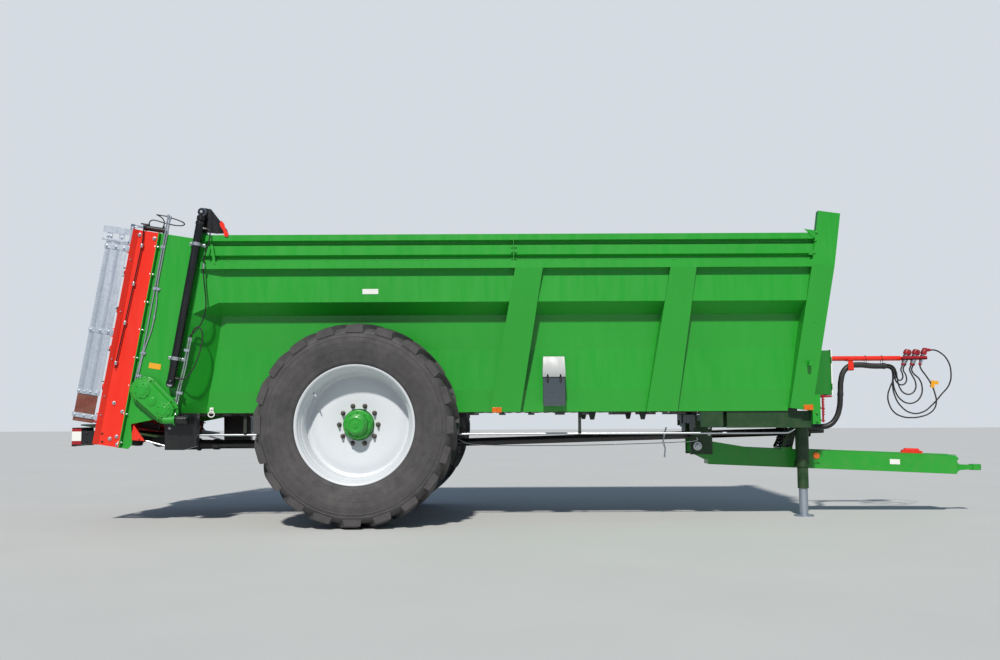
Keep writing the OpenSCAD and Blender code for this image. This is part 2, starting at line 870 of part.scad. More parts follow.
module tyre() {
    difference() {
        rotate_extrude($fn = 96) polygon([
            [bead_r, 195], [bead_r, 227], [rim_d / 2, 227], [600, 265], [680, half_w - 4],
            [735, half_w], [800, half_w - 10], [905, half_w - 30], [tread_r - 12, 245],
            [tread_r, 120], [tread_r, -120], [tread_r - 12, -245], [905, -half_w + 30],
            [800, -half_w + 10], [735, -half_w], [680, -half_w + 4], [600, -265],
            [rim_d / 2, -227], [bead_r, -227], [bead_r, -195]
        ]);
        rotate_extrude($fn = 96) polygon([
            [bead_r - 1, 194], [560, 204], [610, 240], [690, 266], [735, 270], [800, 258],
            [850, 235], [875, 180], [875, -180], [850, -235], [800, -258], [735, -270],
            [690, -266], [610, -240], [560, -204], [bead_r - 1, -194]
        ]);
    }
}

disc_z = -25;
nose_r = 140;

module rim() {
    rotate_extrude($fn = 96) polygon([
        [rim_d / 2, 240], [rim_d / 2, 228], [bead_r, 228], [bead_r, 150], [500, 100],
        [500, -100], [bead_r, -150], [bead_r, -228], [rim_d / 2, -228], [rim_d / 2, -240],
        [bead_r - 8, -240], [bead_r - 8, -146], [492, -96], [492, -40],
        [430, disc_z - 10], [nose_r + 0.5, disc_z - 10], [nose_r + 0.5, disc_z],
        [430, disc_z], [492, -20], [492, 96], [bead_r - 8, 146], [bead_r - 8, 240]
    ]);
}

module hub() {
    difference() {
        union() {
            translate([0, 0, disc_z - 12]) cylinder(r = nose_r, h = 122);
            translate([0, 0, 85]) cylinder(r = 90, h = 40);
            translate([0, 0, disc_z - 40]) cylinder(r = 200, h = 30);
            translate([0, 0, disc_z - 220]) cylinder(r = 215, h = 180);
        }
        translate([0, 0, disc_z - 221])
            cylinder(d = spindle_d + 0.1, h = spindle_y - wheel_y - disc_z + 221 + 10);
    }
}

module at_wheel(side) {
    translate([0, side * wheel_y, hub_z]) rotate([-90 * side, 0, 0]) children();
}

module tyre_right() color(rubber) placed() at_wheel(-1) tyre();
module rim_right() color(silver) placed() at_wheel(-1) rim();
module hub_right() color(green) placed() at_wheel(-1) hub();
module tyre_left() color(rubber) placed() at_wheel(1) tyre();
module rim_left() color(silver) placed() at_wheel(1) rim();
module hub_left() color(green) placed() at_wheel(1) hub();

side_wall_right();
side_wall_left();
side_posts();
side_boards();
floor_deck();
floor_bearers();
floor_chains();
floor_slats();
apron_shaft();
apron_gearbox();
apron_motor();
front_wall();
front_posts();
subframe();
axle_beam();
gate_guides();
gate();
gate_arms();
gate_rods();
gate_barrels();
unit_sides();
adapter_frames();
top_beam();
beater_tray();
unit_gearbox();
beater_right();
beater_left();
flap_right();
flap_left();
flap_barrels();
flap_rod_right();
flap_rod_left();
lamp_boards();
shaft_hangers();
drive_shaft_front();
drive_shaft_rear();
drawbar();
drawbar_pivot();
drawbar_springs();
tow_eye();
jack_tube();
jack_slide();
jack_leg();
steel_pipes();
hose_arm();
coupling_rack();
tool_box();
valve_cabinet();
ladder();
tyre_right();
rim_right();
hub_right();
tyre_left();
rim_left();
hub_left();
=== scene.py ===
"""Looks of the manure spreader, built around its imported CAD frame."""

from itertools import product
from math import acos, atan2, cos, degrees, hypot, pi, radians, sin

import bmesh
import bpy
from mathutils import Matrix, Vector


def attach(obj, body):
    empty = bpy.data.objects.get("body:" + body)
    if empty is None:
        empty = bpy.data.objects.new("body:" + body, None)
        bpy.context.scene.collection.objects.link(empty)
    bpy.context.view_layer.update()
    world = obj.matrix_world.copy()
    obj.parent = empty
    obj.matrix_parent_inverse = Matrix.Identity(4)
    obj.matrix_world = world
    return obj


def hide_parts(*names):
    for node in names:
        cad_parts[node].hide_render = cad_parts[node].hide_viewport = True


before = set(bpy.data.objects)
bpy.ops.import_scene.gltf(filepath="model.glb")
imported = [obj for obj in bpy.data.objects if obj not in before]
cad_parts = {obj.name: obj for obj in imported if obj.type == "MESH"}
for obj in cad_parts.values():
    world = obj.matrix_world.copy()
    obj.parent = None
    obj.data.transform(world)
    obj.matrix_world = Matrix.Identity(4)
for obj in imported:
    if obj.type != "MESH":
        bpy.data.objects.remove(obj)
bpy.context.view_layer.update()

# Places: the pieces are laid out in millimetres, with X counted from the axle.
AXLE_X = -1.809
AXLE = Matrix.Translation((AXLE_X, 0, 0)) @ Matrix.Scale(0.001, 4)
HOPPER_FOOT = 1065
ORIGIN, AHEAD, OUT, UP, RIGHT = (0, 0, 0), (1, 0, 0), (0, 1, 0), (0, 0, 1), (0, -1, 0)
MIRROR = Matrix.Diagonal((1, -1, 1, 1))
SIDES = (("right", -1), ("left", 1))


def leaning(x, lean):
    """A frame on the hopper's end at x, with its z up along the lean and its x forward."""
    return AXLE @ Matrix.Translation((x, 0, HOPPER_FOOT)) @ Matrix.Rotation(radians(lean), 4, "Y")


REAR = leaning(-1773, 9)
FRONT = leaning(4370, 7.9)


def on_side(place, side):
    """The place as it is on the left, or its mirror image on the right."""
    return place if side > 0 else place @ MIRROR


# Mesh making


def circle(count, radius, start=0.0):
    """Points spaced evenly on a circle, from a start in degrees."""
    angles = [radians(start) + 2 * pi * k / count for k in range(count)]
    return [(radius * cos(a), radius * sin(a)) for a in angles]


def mirrored(half):
    """A profile of (distance, radius) pairs with its mirror image before it."""
    return [(-distance, radius) for distance, radius in half] + half[::-1]


class Shape:
    """Points and faces of one piece while it is being made, in millimetres of its place."""

    def __init__(self, place=AXLE):
        self.place = place
        self.points = []
        self.faces = []
        self.coats = []
        self.coat = 0

    def add(self, points, faces):
        first = len(self.points)
        self.points += [self.place @ Vector(p) for p in points]
        self.faces += [[first + i for i in face] for face in faces]
        self.coats += [self.coat] * len(faces)

    def block(self, x0, x1, y0, y1, z0, z1):
        self.prism([(x0, z0), (x1, z0), (x1, z1), (x0, z1)], y0, y1)

    def prism(self, outline, a, b, along="y"):
        """A flat outline drawn out from a to b: (x, z) along y, (y, z) along x, or (x, y) along z."""
        axis = "xyz".index(along)
        n = len(outline)
        ring = list(range(n))
        ends = [[(*p[:axis], t, *p[axis:]) for p in outline] for t in (a, b)]
        sides = [(i, (i + 1) % n, n + (i + 1) % n, n + i) for i in ring]
        self.add(ends[0] + ends[1], sides + [ring, [n + i for i in reversed(ring)]])

    def loft(self, rings, closed=False):
        """Skins rings of equally many points; closed joins the last ring to the first."""
        n, count = len(rings[0]), len(rings)
        faces = []
        for r in range(count if closed else count - 1):
            a, b = r * n, ((r + 1) % count) * n
            faces += [(a + i, a + (i + 1) % n, b + (i + 1) % n, b + i) for i in range(n)]
        if not closed:
            faces += [list(range(n)), [(count - 1) * n + i for i in range(n)][::-1]]
        self.add([p for ring in rings for p in ring], faces)

    def turned(self, profile, start, toward, sides=24, closed=False):
        """A profile of (distance, radius) pairs turned about the line from start toward a direction."""
        start, axis = Vector(start), Vector(toward).normalized()
        side = axis.orthogonal().normalized()
        other = axis.cross(side)
        self.loft([[start + axis * distance + side * c + other * s for c, s in circle(sides, radius)]
                   for distance, radius in profile], closed)

    def sleeve(self, profile, start, toward, sides=24):
        """A closed profile turned about an axis that it stays clear of."""
        self.turned(profile, start, toward, sides, closed=True)

    def tapered(self, *levels):
        """Rectangles x0, x1, y0, y1 at heights z, skinned one to the next."""
        self.loft([[(x0, y0, z), (x1, y0, z), (x1, y1, z), (x0, y1, z)] for x0, x1, y0, y1, z in levels])

    def rod(self, a, b, d, sides=20, d2=None):
        a, b = Vector(a), Vector(b)
        self.turned([(0, d / 2), ((b - a).length, (d2 or d) / 2)], a, b - a, sides)

    def swept(self, route, d, sides=12, closed=False):
        """A round bar of diameter d along the points of a route."""
        route = [Vector(p) for p in route]
        count = len(route)
        side = (route[1] - route[0]).orthogonal().normalized()
        rings = []
        for i, p in enumerate(route):
            ahead = route[(i + 1) % count] if closed or i < count - 1 else p
            behind = route[i - 1] if closed or i else p
            along = (ahead - behind).normalized()
            side = (side - along * side.dot(along)).normalized()
            other = along.cross(side)
            rings.append([p + side * c + other * s for c, s in circle(sides, d / 2)])
        self.loft(rings, closed)

    def bolt(self, at, toward, across=24, washer=True):
        """A hexagon head with its washer, standing on a surface at a point."""
        low = 2 if washer else 0
        r = across / 2 / cos(pi / 6)
        if washer:
            self.turned([(0, across * 0.72), (2.5, across * 0.72), (3, across * 0.66)], at, toward, 12)
        self.turned([(low, r), (low + across * 0.5, r), (low + across * 0.6, r * 0.84)], at, toward, 6)
        self.turned([(low, across * 0.3), (low + across * 0.8, across * 0.3)], at, toward, 8)

    def bolts(self, xs, ys, zs, toward, across, washer=True):
        """A bolt at every combination of the coordinates, each one number or several."""
        for spot in product(*(v if isinstance(v, tuple) else (v,) for v in (xs, ys, zs))):
            self.bolt(spot, toward, across, washer)


# Faces of a rib that is given as four pairs of points, a pair at each corner of its outline
RIB_FACES = [(0, 2, 3, 1), (2, 4, 5, 3), (4, 6, 7, 5), (0, 1, 7, 6), (0, 6, 4, 2), (1, 3, 5, 7)]


def smooth_route(points, steps=6):
    """A rounder route through the same points."""
    points = [Vector(p) for p in points]
    route = []
    for i in range(len(points) - 1):
        a, b = points[max(i - 1, 0)], points[i]
        c, d = points[i + 1], points[min(i + 2, len(points) - 1)]
        for t in (k / steps for k in range(steps)):
            route.append(0.5 * ((2 * b) + (c - a) * t + (2 * a - 5 * b + 4 * c - d) * t * t
                                + (3 * b - a - 3 * c + d) * t ** 3))
    return route + [points[-1]]


def bent_pipe(points, radius, steps=5):
    """The route of a pipe with straight runs and bends of one radius."""
    points = [Vector(p) for p in points]
    route = [points[0]]
    for a, b, c in zip(points, points[1:], points[2:]):
        reach = min(radius, (a - b).length * 0.45, (c - b).length * 0.45)
        start, end = b + (a - b).normalized() * reach, b + (c - b).normalized() * reach
        route += [start.lerp(b, t).lerp(b.lerp(end, t), t) for t in (k / steps for k in range(steps + 1))]
    return route + [points[-1]]


def piece(name, shape, coats, body="frame", stands_for=(), edge=0.0, smooth=32):
    """Makes a shape into a finished piece. Edge is the width in millimetres that its edges are eased by."""
    mesh = bpy.data.meshes.new(name)
    mesh.from_pydata(shape.points, [], shape.faces)
    coats = [coats] if isinstance(coats, str) else coats
    for coat in coats:
        mesh.materials.append(MATERIALS[coat])
    mesh.polygons.foreach_set("material_index", shape.coats)
    work = bmesh.new()
    work.from_mesh(mesh)
    bmesh.ops.recalc_face_normals(work, faces=work.faces)
    work.to_mesh(mesh)
    work.free()
    mesh.shade_smooth()
    mesh.set_sharp_from_angle(angle=radians(smooth))
    made = bpy.data.objects.new(name, mesh)
    bpy.context.scene.collection.objects.link(made)
    if edge:
        bevel = made.modifiers.new("eased_edges", "BEVEL")
        bevel.width = edge * 0.001
        bevel.segments = 2
        bevel.angle_limit = radians(35)
        bevel.harden_normals = True
    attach(made, body)
    if stands_for:
        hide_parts(*stands_for)


# Materials


def tone(code):
    """An sRGB hex colour as the linear one that shaders take."""
    parts = [int(code[i:i + 2], 16) / 255 for i in (1, 3, 5)]
    return [p / 12.92 if p <= 0.04045 else ((p + 0.055) / 1.055) ** 2.4 for p in parts] + [1.0]


def add(tree, kind, settings=None, links=None, **options):
    """Adds a shader node with its options, socket settings and incoming links."""
    made = tree.nodes.new("ShaderNode" + kind)
    for name, value in options.items():
        setattr(made, name, value)
    for name, value in (settings or {}).items():
        made.inputs[name].default_value = value
    for name, source in (links or {}).items():
        tree.links.new(source, made.inputs[name])
    return made


MATERIALS = {}

# How far across the patches of each pattern are, in millimetres.
DUST_MM, CLOUD_MM, DULL_MM, RUFFLE_MM, FLOW_MM, STAIN_MM = 90, 900, 60, 25, 120, 45
MOTTLE_MM, FILM_MM, SKIN_MM, FLOOR_MM = 70, 160, 4, 1500
# Orange peel is about 4 mm across, drawn at 9 mm so that it still shows.
PEEL_MM = 9
# Scales that draw a pattern out down the machine.
STREAKED, RUNNING = (1.0, 1.0, 0.12), (1.0, 1.0, 0.15)
DRY_DUST, RUST, OLD_RUST = "#8E8768", "#5A3A22", "#4A3626"


def start_material(name):
    """An empty material and the place that its patterns are laid out by."""
    material = bpy.data.materials.new(name)
    material.use_nodes = True
    tree = material.node_tree
    tree.nodes.clear()
    MATERIALS[name] = material
    return tree, add(tree, "TexCoord").outputs["Object"]


def finish_material(tree, settings, links):
    """The shader with its sockets set and fed, and the output that it goes to."""
    shader = add(tree, "BsdfPrincipled", settings, links)
    add(tree, "OutputMaterial", links={"Surface": shader.outputs["BSDF"]})


def grain(tree, place, size_mm, detail=3.0, rough=0.55):
    """Noise whose patches are about size_mm across."""
    return add(tree, "TexNoise", {"Scale": 1000 / size_mm, "Detail": detail, "Roughness": rough},
               {"Vector": place}).outputs["Fac"]


def drawn_out(tree, place, scale):
    """The place with its patterns stretched along an axis."""
    return add(tree, "Mapping", {"Scale": scale}, {"Vector": place}).outputs["Vector"]


def spread(tree, value, low, high, out_low=0.0, out_high=1.0):
    """A value stretched from one range to another and held inside it."""
    return add(tree, "MapRange", {"From Min": low, "From Max": high, "To Min": out_low,
                                  "To Max": out_high}, {"Value": value}).outputs["Result"]


def fed(tree, made, output, *inputs):
    """The node's output, with each input given a socket, a number or a hex colour."""
    for number, value in inputs:
        if isinstance(value, str):
            made.inputs[number].default_value = tone(value)
        elif isinstance(value, (int, float)):
            made.inputs[number].default_value = value
        else:
            tree.links.new(value, made.inputs[number])
    return made.outputs[output]


def mixed(tree, share, a, b):
    """Colour a with a share of colour b; each is a hex code or a socket."""
    return fed(tree, add(tree, "Mix", data_type="RGBA"), 2, (0, share), (6, a), (7, b))


def times(tree, a, b):
    """The product of two numbers or sockets."""
    return fed(tree, add(tree, "Math", operation="MULTIPLY"), 0, (0, a), (1, b))


def bumped(tree, height, depth_mm, strength):
    """A normal that follows a height of up to depth_mm."""
    return add(tree, "Bump", {"Distance": depth_mm * 0.001, "Strength": strength},
               {"Height": height}).outputs["Normal"]


def settled_dust(tree, place):
    """Where dust lies: on faces that look up, and more so low on the machine."""
    surface = add(tree, "NewGeometry").outputs
    facing, height = (add(tree, "SeparateXYZ", links={"Vector": surface[output]}).outputs["Z"]
                      for output in ("Normal", "Position"))
    upward = spread(tree, facing, 0.35, 1.0)
    patches = spread(tree, grain(tree, place, DUST_MM, 5), 0.42, 0.68)
    low = spread(tree, height, 0.1, 1.3, 0.5, 0.0)
    either = fed(tree, add(tree, "Math", operation="MAXIMUM"), 0, (0, upward), (1, low))
    return times(tree, either, patches)


def enamel(name, slot, colour, deep, gloss, coat, dust_share):
    """Sprayed two-pack enamel on steel: even colour, a soft gloss, faint orange peel and a little dust."""
    tree, place = start_material(name)
    clouds = spread(tree, grain(tree, place, CLOUD_MM, 2), 0.3, 0.7, 0.0, 0.35)
    painted = mixed(tree, clouds, colour, deep)
    dusty = mixed(tree, times(tree, settled_dust(tree, place), dust_share), painted, DRY_DUST)
    streaks = grain(tree, drawn_out(tree, place, STREAKED), DULL_MM, 4)
    dull = spread(tree, streaks, 0.35, 0.7, gloss, gloss + 0.16)
    peel = bumped(tree, grain(tree, place, PEEL_MM, 2), 0.05, 0.35)
    finish_material(tree, {"IOR": 1.5, "Coat Weight": coat, "Coat Roughness": 0.12},
                    {"Base Color": dusty, "Roughness": dull, "Normal": peel})


# Columns: name, slot, colour, deeper colour, roughness, clear coat, share of dust.
# The yellow plastic is as even and as softly glossy as the paint, so it is made in the same way.
for row in (
    ("green_enamel", "green_paint", "#1E9A26", "#178A1F", 0.34, 0.25, 0.22),
    # A dark copy of the green paint for green parts that stand in shade under the hopper and drawbar: painted
    # shade, not a paint of its own.
    ("shaded_green_enamel", "green_paint", "#0F3D14", "#0C3010", 0.42, 0.1, 0.35),
    ("cabinet_green_enamel", "green_paint", "#16781D", "#136C19", 0.32, 0.3, 0.15),
    ("orange_red_enamel", "orange_red_paint", "#E8280A", "#D42008", 0.32, 0.2, 0.2),
    ("dark_red_enamel", "red_paint", "#9C0512", "#86040F", 0.36, 0.2, 0.2),
    ("black_enamel", "dark_steel", "#0A0B0C", "#101113", 0.28, 0.3, 0.1),
    ("silver_rim_enamel", "silver_paint", "#D2D6DA", "#C6CACF", 0.3, 0.3, 0.1),
    # Near-black green that stands for the green underframe lying in shade under the floor: painted shade,
    # with real dust on it.
    ("underframe_enamel", "dark_steel", "#15241A", "#101A14", 0.45, 0.1, 0.5),
    ("white_enamel", "silver_paint", "#E9E9E4", "#DADAD4", 0.35, 0.2, 0.15),
    ("pale_grey_enamel", "silver_paint", "#A3A7A6", "#979B9A", 0.34, 0.25, 0.15),
    ("yellow_plastic", "lamp_plastic", "#E8A317", "#D18E0E", 0.42, 0.05, 0.15),
):
    enamel(*row)


def hot_dip_zinc(name, light, dark, cell_mm, rough):
    """Hot-dipped zinc: pale grey crystals a centimetre or two across, each a little duller or darker."""
    tree, place = start_material(name)
    ruffle = add(tree, "TexNoise", {"Scale": 1000 / RUFFLE_MM}, {"Vector": place}).outputs["Color"]
    wander = fed(tree, add(tree, "Mix", data_type="RGBA"), 2, (0, 0.02), (6, place), (7, ruffle))
    cells = add(tree, "TexVoronoi", {"Scale": 1000 / cell_mm}, {"Vector": wander})
    shade = add(tree, "SeparateColor", links={"Color": cells.outputs["Color"]}).outputs["Red"]
    flow = spread(tree, grain(tree, drawn_out(tree, place, RUNNING), FLOW_MM, 5), 0.35, 0.7)
    base = mixed(tree, times(tree, shade, 0.55), light, dark)
    run = mixed(tree, times(tree, flow, 0.5), base, dark)
    finish_material(tree, {"Metallic": 0.75},
                    {"Base Color": run, "Roughness": spread(tree, shade, 0, 1, rough, rough + 0.18),
                     "Normal": bumped(tree, flow, 0.25, 0.4)})


# The blue in the sheet's two colours is partly zinc's own tint and partly a painted reflection of blue sky.
hot_dip_zinc("hot_dip_galvanised_sheet", "#DDE3EA", "#A9B4C2", 18, 0.34)
hot_dip_zinc("galvanised_tube", "#B4BCC6", "#8A94A1", 10, 0.42)


def bare_metal(name, slot, colour, deep, rough, scratch_mm, stretch, metallic, stain=RUST, stained=0.0):
    """Bare or plated metal: fine marks, drawn out where it is brushed or worn, and stains where rough."""
    tree, place = start_material(name)
    marks = grain(tree, drawn_out(tree, place, stretch), scratch_mm, 4, 0.6)
    base = mixed(tree, spread(tree, marks, 0.35, 0.7), colour, deep)
    rust = times(tree, spread(tree, grain(tree, place, STAIN_MM, 6), 0.5, 0.66), stained)
    finish_material(tree, {"Metallic": metallic},
                    {"Base Color": mixed(tree, rust, base, stain),
                     "Roughness": spread(tree, marks, 0.3, 0.75, rough, rough + 0.15),
                     "Normal": bumped(tree, marks, 0.04, 0.3)})


# Columns: name, slot, colour, deeper colour, roughness, mark size, stretch, metallic, stain, its share.
for row in (
    ("zinc_plated_steel", "galvanised", "#D8DBDE", "#AEB3B8", 0.28, 6, (1, 1, 1), 0.9),
    ("ground_chrome", "chrome_rod", "#F0F2F4", "#D9DDE1", 0.08, 3, (1, 1, 1), 1.0),
    ("brushed_stainless", "galvanised", "#8B9194", "#6C7377", 0.2, 3, (0.08, 1, 1), 1.0),
    ("worn_floor_steel", "worn_steel", "#8D8F8E", "#6A6A66", 0.38, 8, (0.12, 1, 1), 0.85, RUST, 0.5),
    ("chain_steel", "worn_steel", "#6E6C68", "#4B4844", 0.42, 6, (1, 1, 1), 0.85, RUST, 0.6),
    ("cast_steel", "dark_steel", "#2A2C2D", "#1E2021", 0.5, 5, (1, 1, 1), 0.5, OLD_RUST, 0.3),
):
    bare_metal(*row)


def moulded(name, slot, colour, deep, rough, coat, dust, dusted):
    """Moulded rubber or plastic: dull, faintly mottled, with dust that settles in it."""
    tree, place = start_material(name)
    mottle = grain(tree, place, MOTTLE_MM, 6, 0.62)
    base = mixed(tree, spread(tree, mottle, 0.35, 0.68), colour, deep)
    film = times(tree, spread(tree, grain(tree, place, FILM_MM, 5), 0.4, 0.7), dusted)
    finish_material(tree, {"IOR": 1.5, "Coat Weight": coat},
                    {"Base Color": mixed(tree, film, base, dust),
                     "Roughness": spread(tree, mottle, 0.3, 0.7, rough, rough + 0.15),
                     "Normal": bumped(tree, grain(tree, place, SKIN_MM), 0.25, 0.35)})


# Columns: name, slot, colour, deeper colour, roughness, clear coat, dust colour, share dusted.
for row in (
    ("tyre_rubber", "tyre_rubber", "#444243", "#3A3839", 0.62, 0.0, "#6C6865", 0.2),
    ("hose_rubber", "tyre_rubber", "#131416", "#1C1D20", 0.4, 0.1, "#6A675E", 0.15),
    ("black_plastic", "dark_steel", "#121314", "#1A1B1C", 0.38, 0.1, "#6A675E", 0.15),
    ("rubber_sheet", "dark_steel", "#7A3B2C", "#5F2C22", 0.5, 0.0, "#8A7F6A", 0.3),
    ("coupling_plastic", "red_paint", "#A30D1C", "#7E0A16", 0.34, 0.2, "#8A7F6A", 0.1),
):
    moulded(*row)


def lens(name, colour, deep):
    """Moulded clear plastic over a prism back: deep colour, a glassy skin and small cells."""
    tree, place = start_material(name)
    # 140 cells a metre, each about 7 mm across
    cells = add(tree, "TexVoronoi", {"Scale": 140.0}, {"Vector": place}).outputs["Distance"]
    finish_material(tree, {"IOR": 1.49, "Roughness": 0.15, "Coat Weight": 0.6, "Coat Roughness": 0.04},
                    {"Base Color": mixed(tree, spread(tree, cells, 0.1, 0.6), colour, deep),
                     "Normal": bumped(tree, cells, 0.6, 0.4)})


lens("amber_lens", "#F08A12", "#C85A05")
lens("red_lens", "#D1121A", "#8E060C")


def pale_floor():
    """Smooth pale studio floor with the faintest mottling."""
    tree, place = start_material("pale_studio_floor")
    base = mixed(tree, grain(tree, place, FLOOR_MM), "#C4C5C2", "#CDCDCA")
    finish_material(tree, {"Roughness": 0.75, "Specular IOR Level": 0.2}, {"Base Color": base})


pale_floor()


# Camera and light, in metres and degrees, with the lens in millimetres

FOCAL_LENGTH, SENSOR_WIDTH, FAR = 35.17, 36, 200
CAMERA_PLACE, CAMERA_SHIFT = (-0.302, -10.34, 1.035), -0.018
CAMERA_RISE, CAMERA_ROLL = 4.97, 0.25
SUN_STRENGTH, SUN_WIDTH, SUN_COLOUR = 3.7, 3, (1.0, 0.965, 0.91)
SUN_DROP, SUN_ROLL = 46, -6
SKY_LIGHT, SKY_SEEN, SKY_STRENGTH = "#A9C0E0", "#D5DBE2", 0.4
FLOOR_HALF = 60

scene = bpy.context.scene
lens_data = bpy.data.cameras.new("camera")
lens_data.lens = FOCAL_LENGTH
lens_data.sensor_width = SENSOR_WIDTH
lens_data.shift_x = CAMERA_SHIFT
lens_data.clip_end = FAR
camera = bpy.data.objects.new("camera", lens_data)
camera.location = CAMERA_PLACE
camera.rotation_euler = (radians(90 + CAMERA_RISE), radians(CAMERA_ROLL), 0)
scene.collection.objects.link(camera)
scene.camera = camera
scene.view_settings.view_transform = "Standard"

sun_data = bpy.data.lights.new("sun", "SUN")
sun_data.energy = SUN_STRENGTH
sun_data.angle = radians(SUN_WIDTH)
sun_data.color = SUN_COLOUR
sun = bpy.data.objects.new("sun", sun_data)
sun.rotation_euler = (radians(SUN_DROP), 0, radians(SUN_ROLL))
scene.collection.objects.link(sun)

# The backdrop is pale to look at, and dimmer and bluer as a light.
sky = bpy.data.worlds.new("soft_studio")
sky.use_nodes = True
scene.world = sky
backdrop = sky.node_tree
lit = backdrop.nodes["Background"]
lit.inputs["Color"].default_value = tone(SKY_LIGHT)
lit.inputs["Strength"].default_value = SKY_STRENGTH
seen = add(backdrop, "Background", {"Color": tone(SKY_SEEN)})
looking = add(backdrop, "LightPath").outputs["Is Camera Ray"]
either = add(backdrop, "MixShader", links={0: looking, 1: lit.outputs[0], 2: seen.outputs[0]})
backdrop.links.new(either.outputs[0], backdrop.nodes["World Output"].inputs["Surface"])

corners = [(-FLOOR_HALF, -FLOOR_HALF, 0), (FLOOR_HALF, -FLOOR_HALF, 0), (FLOOR_HALF, FLOOR_HALF, 0),
           (-FLOOR_HALF, FLOOR_HALF, 0)]
ground_mesh = bpy.data.meshes.new("floor")
ground_mesh.from_pydata(corners, [], [(0, 1, 2, 3)])
ground_mesh.materials.append(MATERIALS["pale_studio_floor"])
floor = bpy.data.objects.new("floor", ground_mesh)
scene.collection.objects.link(floor)


# Free hoses, hung as they are parked


def hose(name, points, d):
    """A hose along a given route, in millimetres from the axle."""
    route = [(round(x / 1000 + AXLE_X, 4), y / 1000, z / 1000) for x, y, z in points]
    data = bpy.data.curves.new(name, "CURVE")
    data.dimensions = "3D"
    data.bevel_depth = d / 2000
    data.bevel_resolution = 4
    data.resolution_u = 8
    data.use_fill_caps = True
    line = data.splines.new("BEZIER")
    line.bezier_points.add(len(route) - 1)
    for point, at in zip(line.bezier_points, route):
        point.co = at
        point.handle_left_type = point.handle_right_type = "AUTO"
    data.materials.append(MATERIALS["hose_rubber"])
    made = bpy.data.objects.new(name, data)
    scene.collection.objects.link(made)
    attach(made, "frame")


# Wheels

HALF_TRACK, AXLE_HEIGHT = 1075, 950
LUGS, STUDS = 20, 10
TYRE_HALF = [
    (195, 533), (222, 533), (229, 540), (233, 556), (246, 566), (257, 584), (258, 598), (266, 620),
    (276, 655), (285, 700), (291, 745), (291, 780), (287, 806), (289, 809), (289, 815), (285, 818),
    (281, 838), (283, 843), (281, 849), (272, 866), (250, 888), (215, 901), (120, 907), (0, 909),
]
# Lug stations: distance from the tyre's middle, top radius, foot radius, lead in degrees,
# half the width of its top, half the width of its foot.
LUG = [
    (8, 949, 900, 13.5, 24, 36), (80, 949, 900, 10.4, 30, 42), (150, 946, 898, 7.2, 38, 50),
    (215, 940, 890, 3.9, 50, 62), (262, 930, 876, 1.4, 64, 75), (288, 918, 856, 0.0, 74, 84),
]
RIM_FACE = [
    (228, 559), (237, 559), (240, 556), (240, 550), (236, 542), (226, 533), (196, 527), (186, 519),
    (168, 515), (152, 511), (140, 501), (112, 494), (96, 490), (20, 489), (-26, 489), (-60, 490), (-96, 492),
    (-112, 496), (-140, 503), (-152, 513), (-168, 517), (-186, 521), (-196, 529), (-226, 535), (-236, 544),
    (-240, 551), (-240, 557), (-237, 559), (-228, 559),
]
RIM_UNDER = [(222, 551), (222, 541), (190, 535), (160, 523), (130, 507), (100, 500)]
RIM_DISC = [
    (-26, 489), (-24, 484), (-30, 476), (-34, 462), (-31, 446), (-22, 424), (-14, 396), (-11, 360),
    (-13, 300), (-20, 232), (-23, 208), (-23, 150), (-33, 150), (-33, 208), (-30, 235), (-23, 300),
    (-21, 360), (-24, 396), (-32, 424), (-41, 446), (-44, 462), (-42, 480), (-40, 489),
]
HUB_CAP = [
    (-40, 52), (-40, 140), (28, 140), (36, 136), (40, 128), (58, 132), (66, 129), (70, 124), (72, 106),
    (134, 94), (138, 86), (164, 84), (174, 80), (179, 70), (180, 62), (174, 58), (174, 30), (181, 28),
    (182, 20), (182, 4), (90, 4), (90, 52),
]
BRAKE_DRUM = [
    (-245, 56), (-245, 212), (-240, 215), (-90, 215), (-82, 208), (-70, 160), (-64, 120), (-64, 56),
]


def wheel_place(side):
    """A wheel's middle, with its y outwards."""
    return AXLE @ Matrix.Translation((0, side * HALF_TRACK, AXLE_HEIGHT)) @ Matrix.Diagonal((1, side, 1, 1))


def round_point(t, r, angle):
    """A point of the wheel at t along its axle and r from it, at degrees from the top."""
    return (r * sin(radians(angle)), t, r * cos(radians(angle)))


def make_tyre(name, side):
    """Tyre carcass with a row of slanting lugs on each half, and fine rings on its outer wall."""
    tyre = Shape(wheel_place(side))
    inner = [(t - 14 if t > 30 else t, r - 16) for t, r in TYRE_HALF[2:]]
    loop = TYRE_HALF + [(-t, r) for t, r in TYRE_HALF[-2::-1]]
    back = [(-t, r) for t, r in inner] + inner[-2::-1]
    tyre.sleeve(loop + [(-195, 533)] + back[1:-1] + [(195, 535)], ORIGIN, OUT, 160)
    step = 360 / LUGS
    for half, first in ((1, 0), (-1, step / 2)):
        for i in range(LUGS):
            rings = []
            for t, top, foot, lead, top_w, foot_w in LUG:
                spots = ((foot, -foot_w), (top, -top_w), (top, top_w), (foot, foot_w))
                start = first + step * i + lead
                rings.append([round_point(half * t, r, start + degrees(w / r)) for r, w in spots])
            tyre.loft(rings)
    for r in (622, 640, 700, 762):
        t = next(a[0] + (b[0] - a[0]) * (r - a[1]) / (b[1] - a[1])
                 for a, b in zip(TYRE_HALF[4:], TYRE_HALF[5:]) if a[1] <= r <= b[1])
        tyre.sleeve([(t - 1, r - 2), (t + 1.6, r - 1), (t + 1.6, r + 1), (t - 1, r + 2)], ORIGIN, OUT, 120)
    piece(f"tyre_{name}_treaded", tyre, "tyre_rubber", f"wheel_{name}", [f"tyre_{name}"], edge=5)


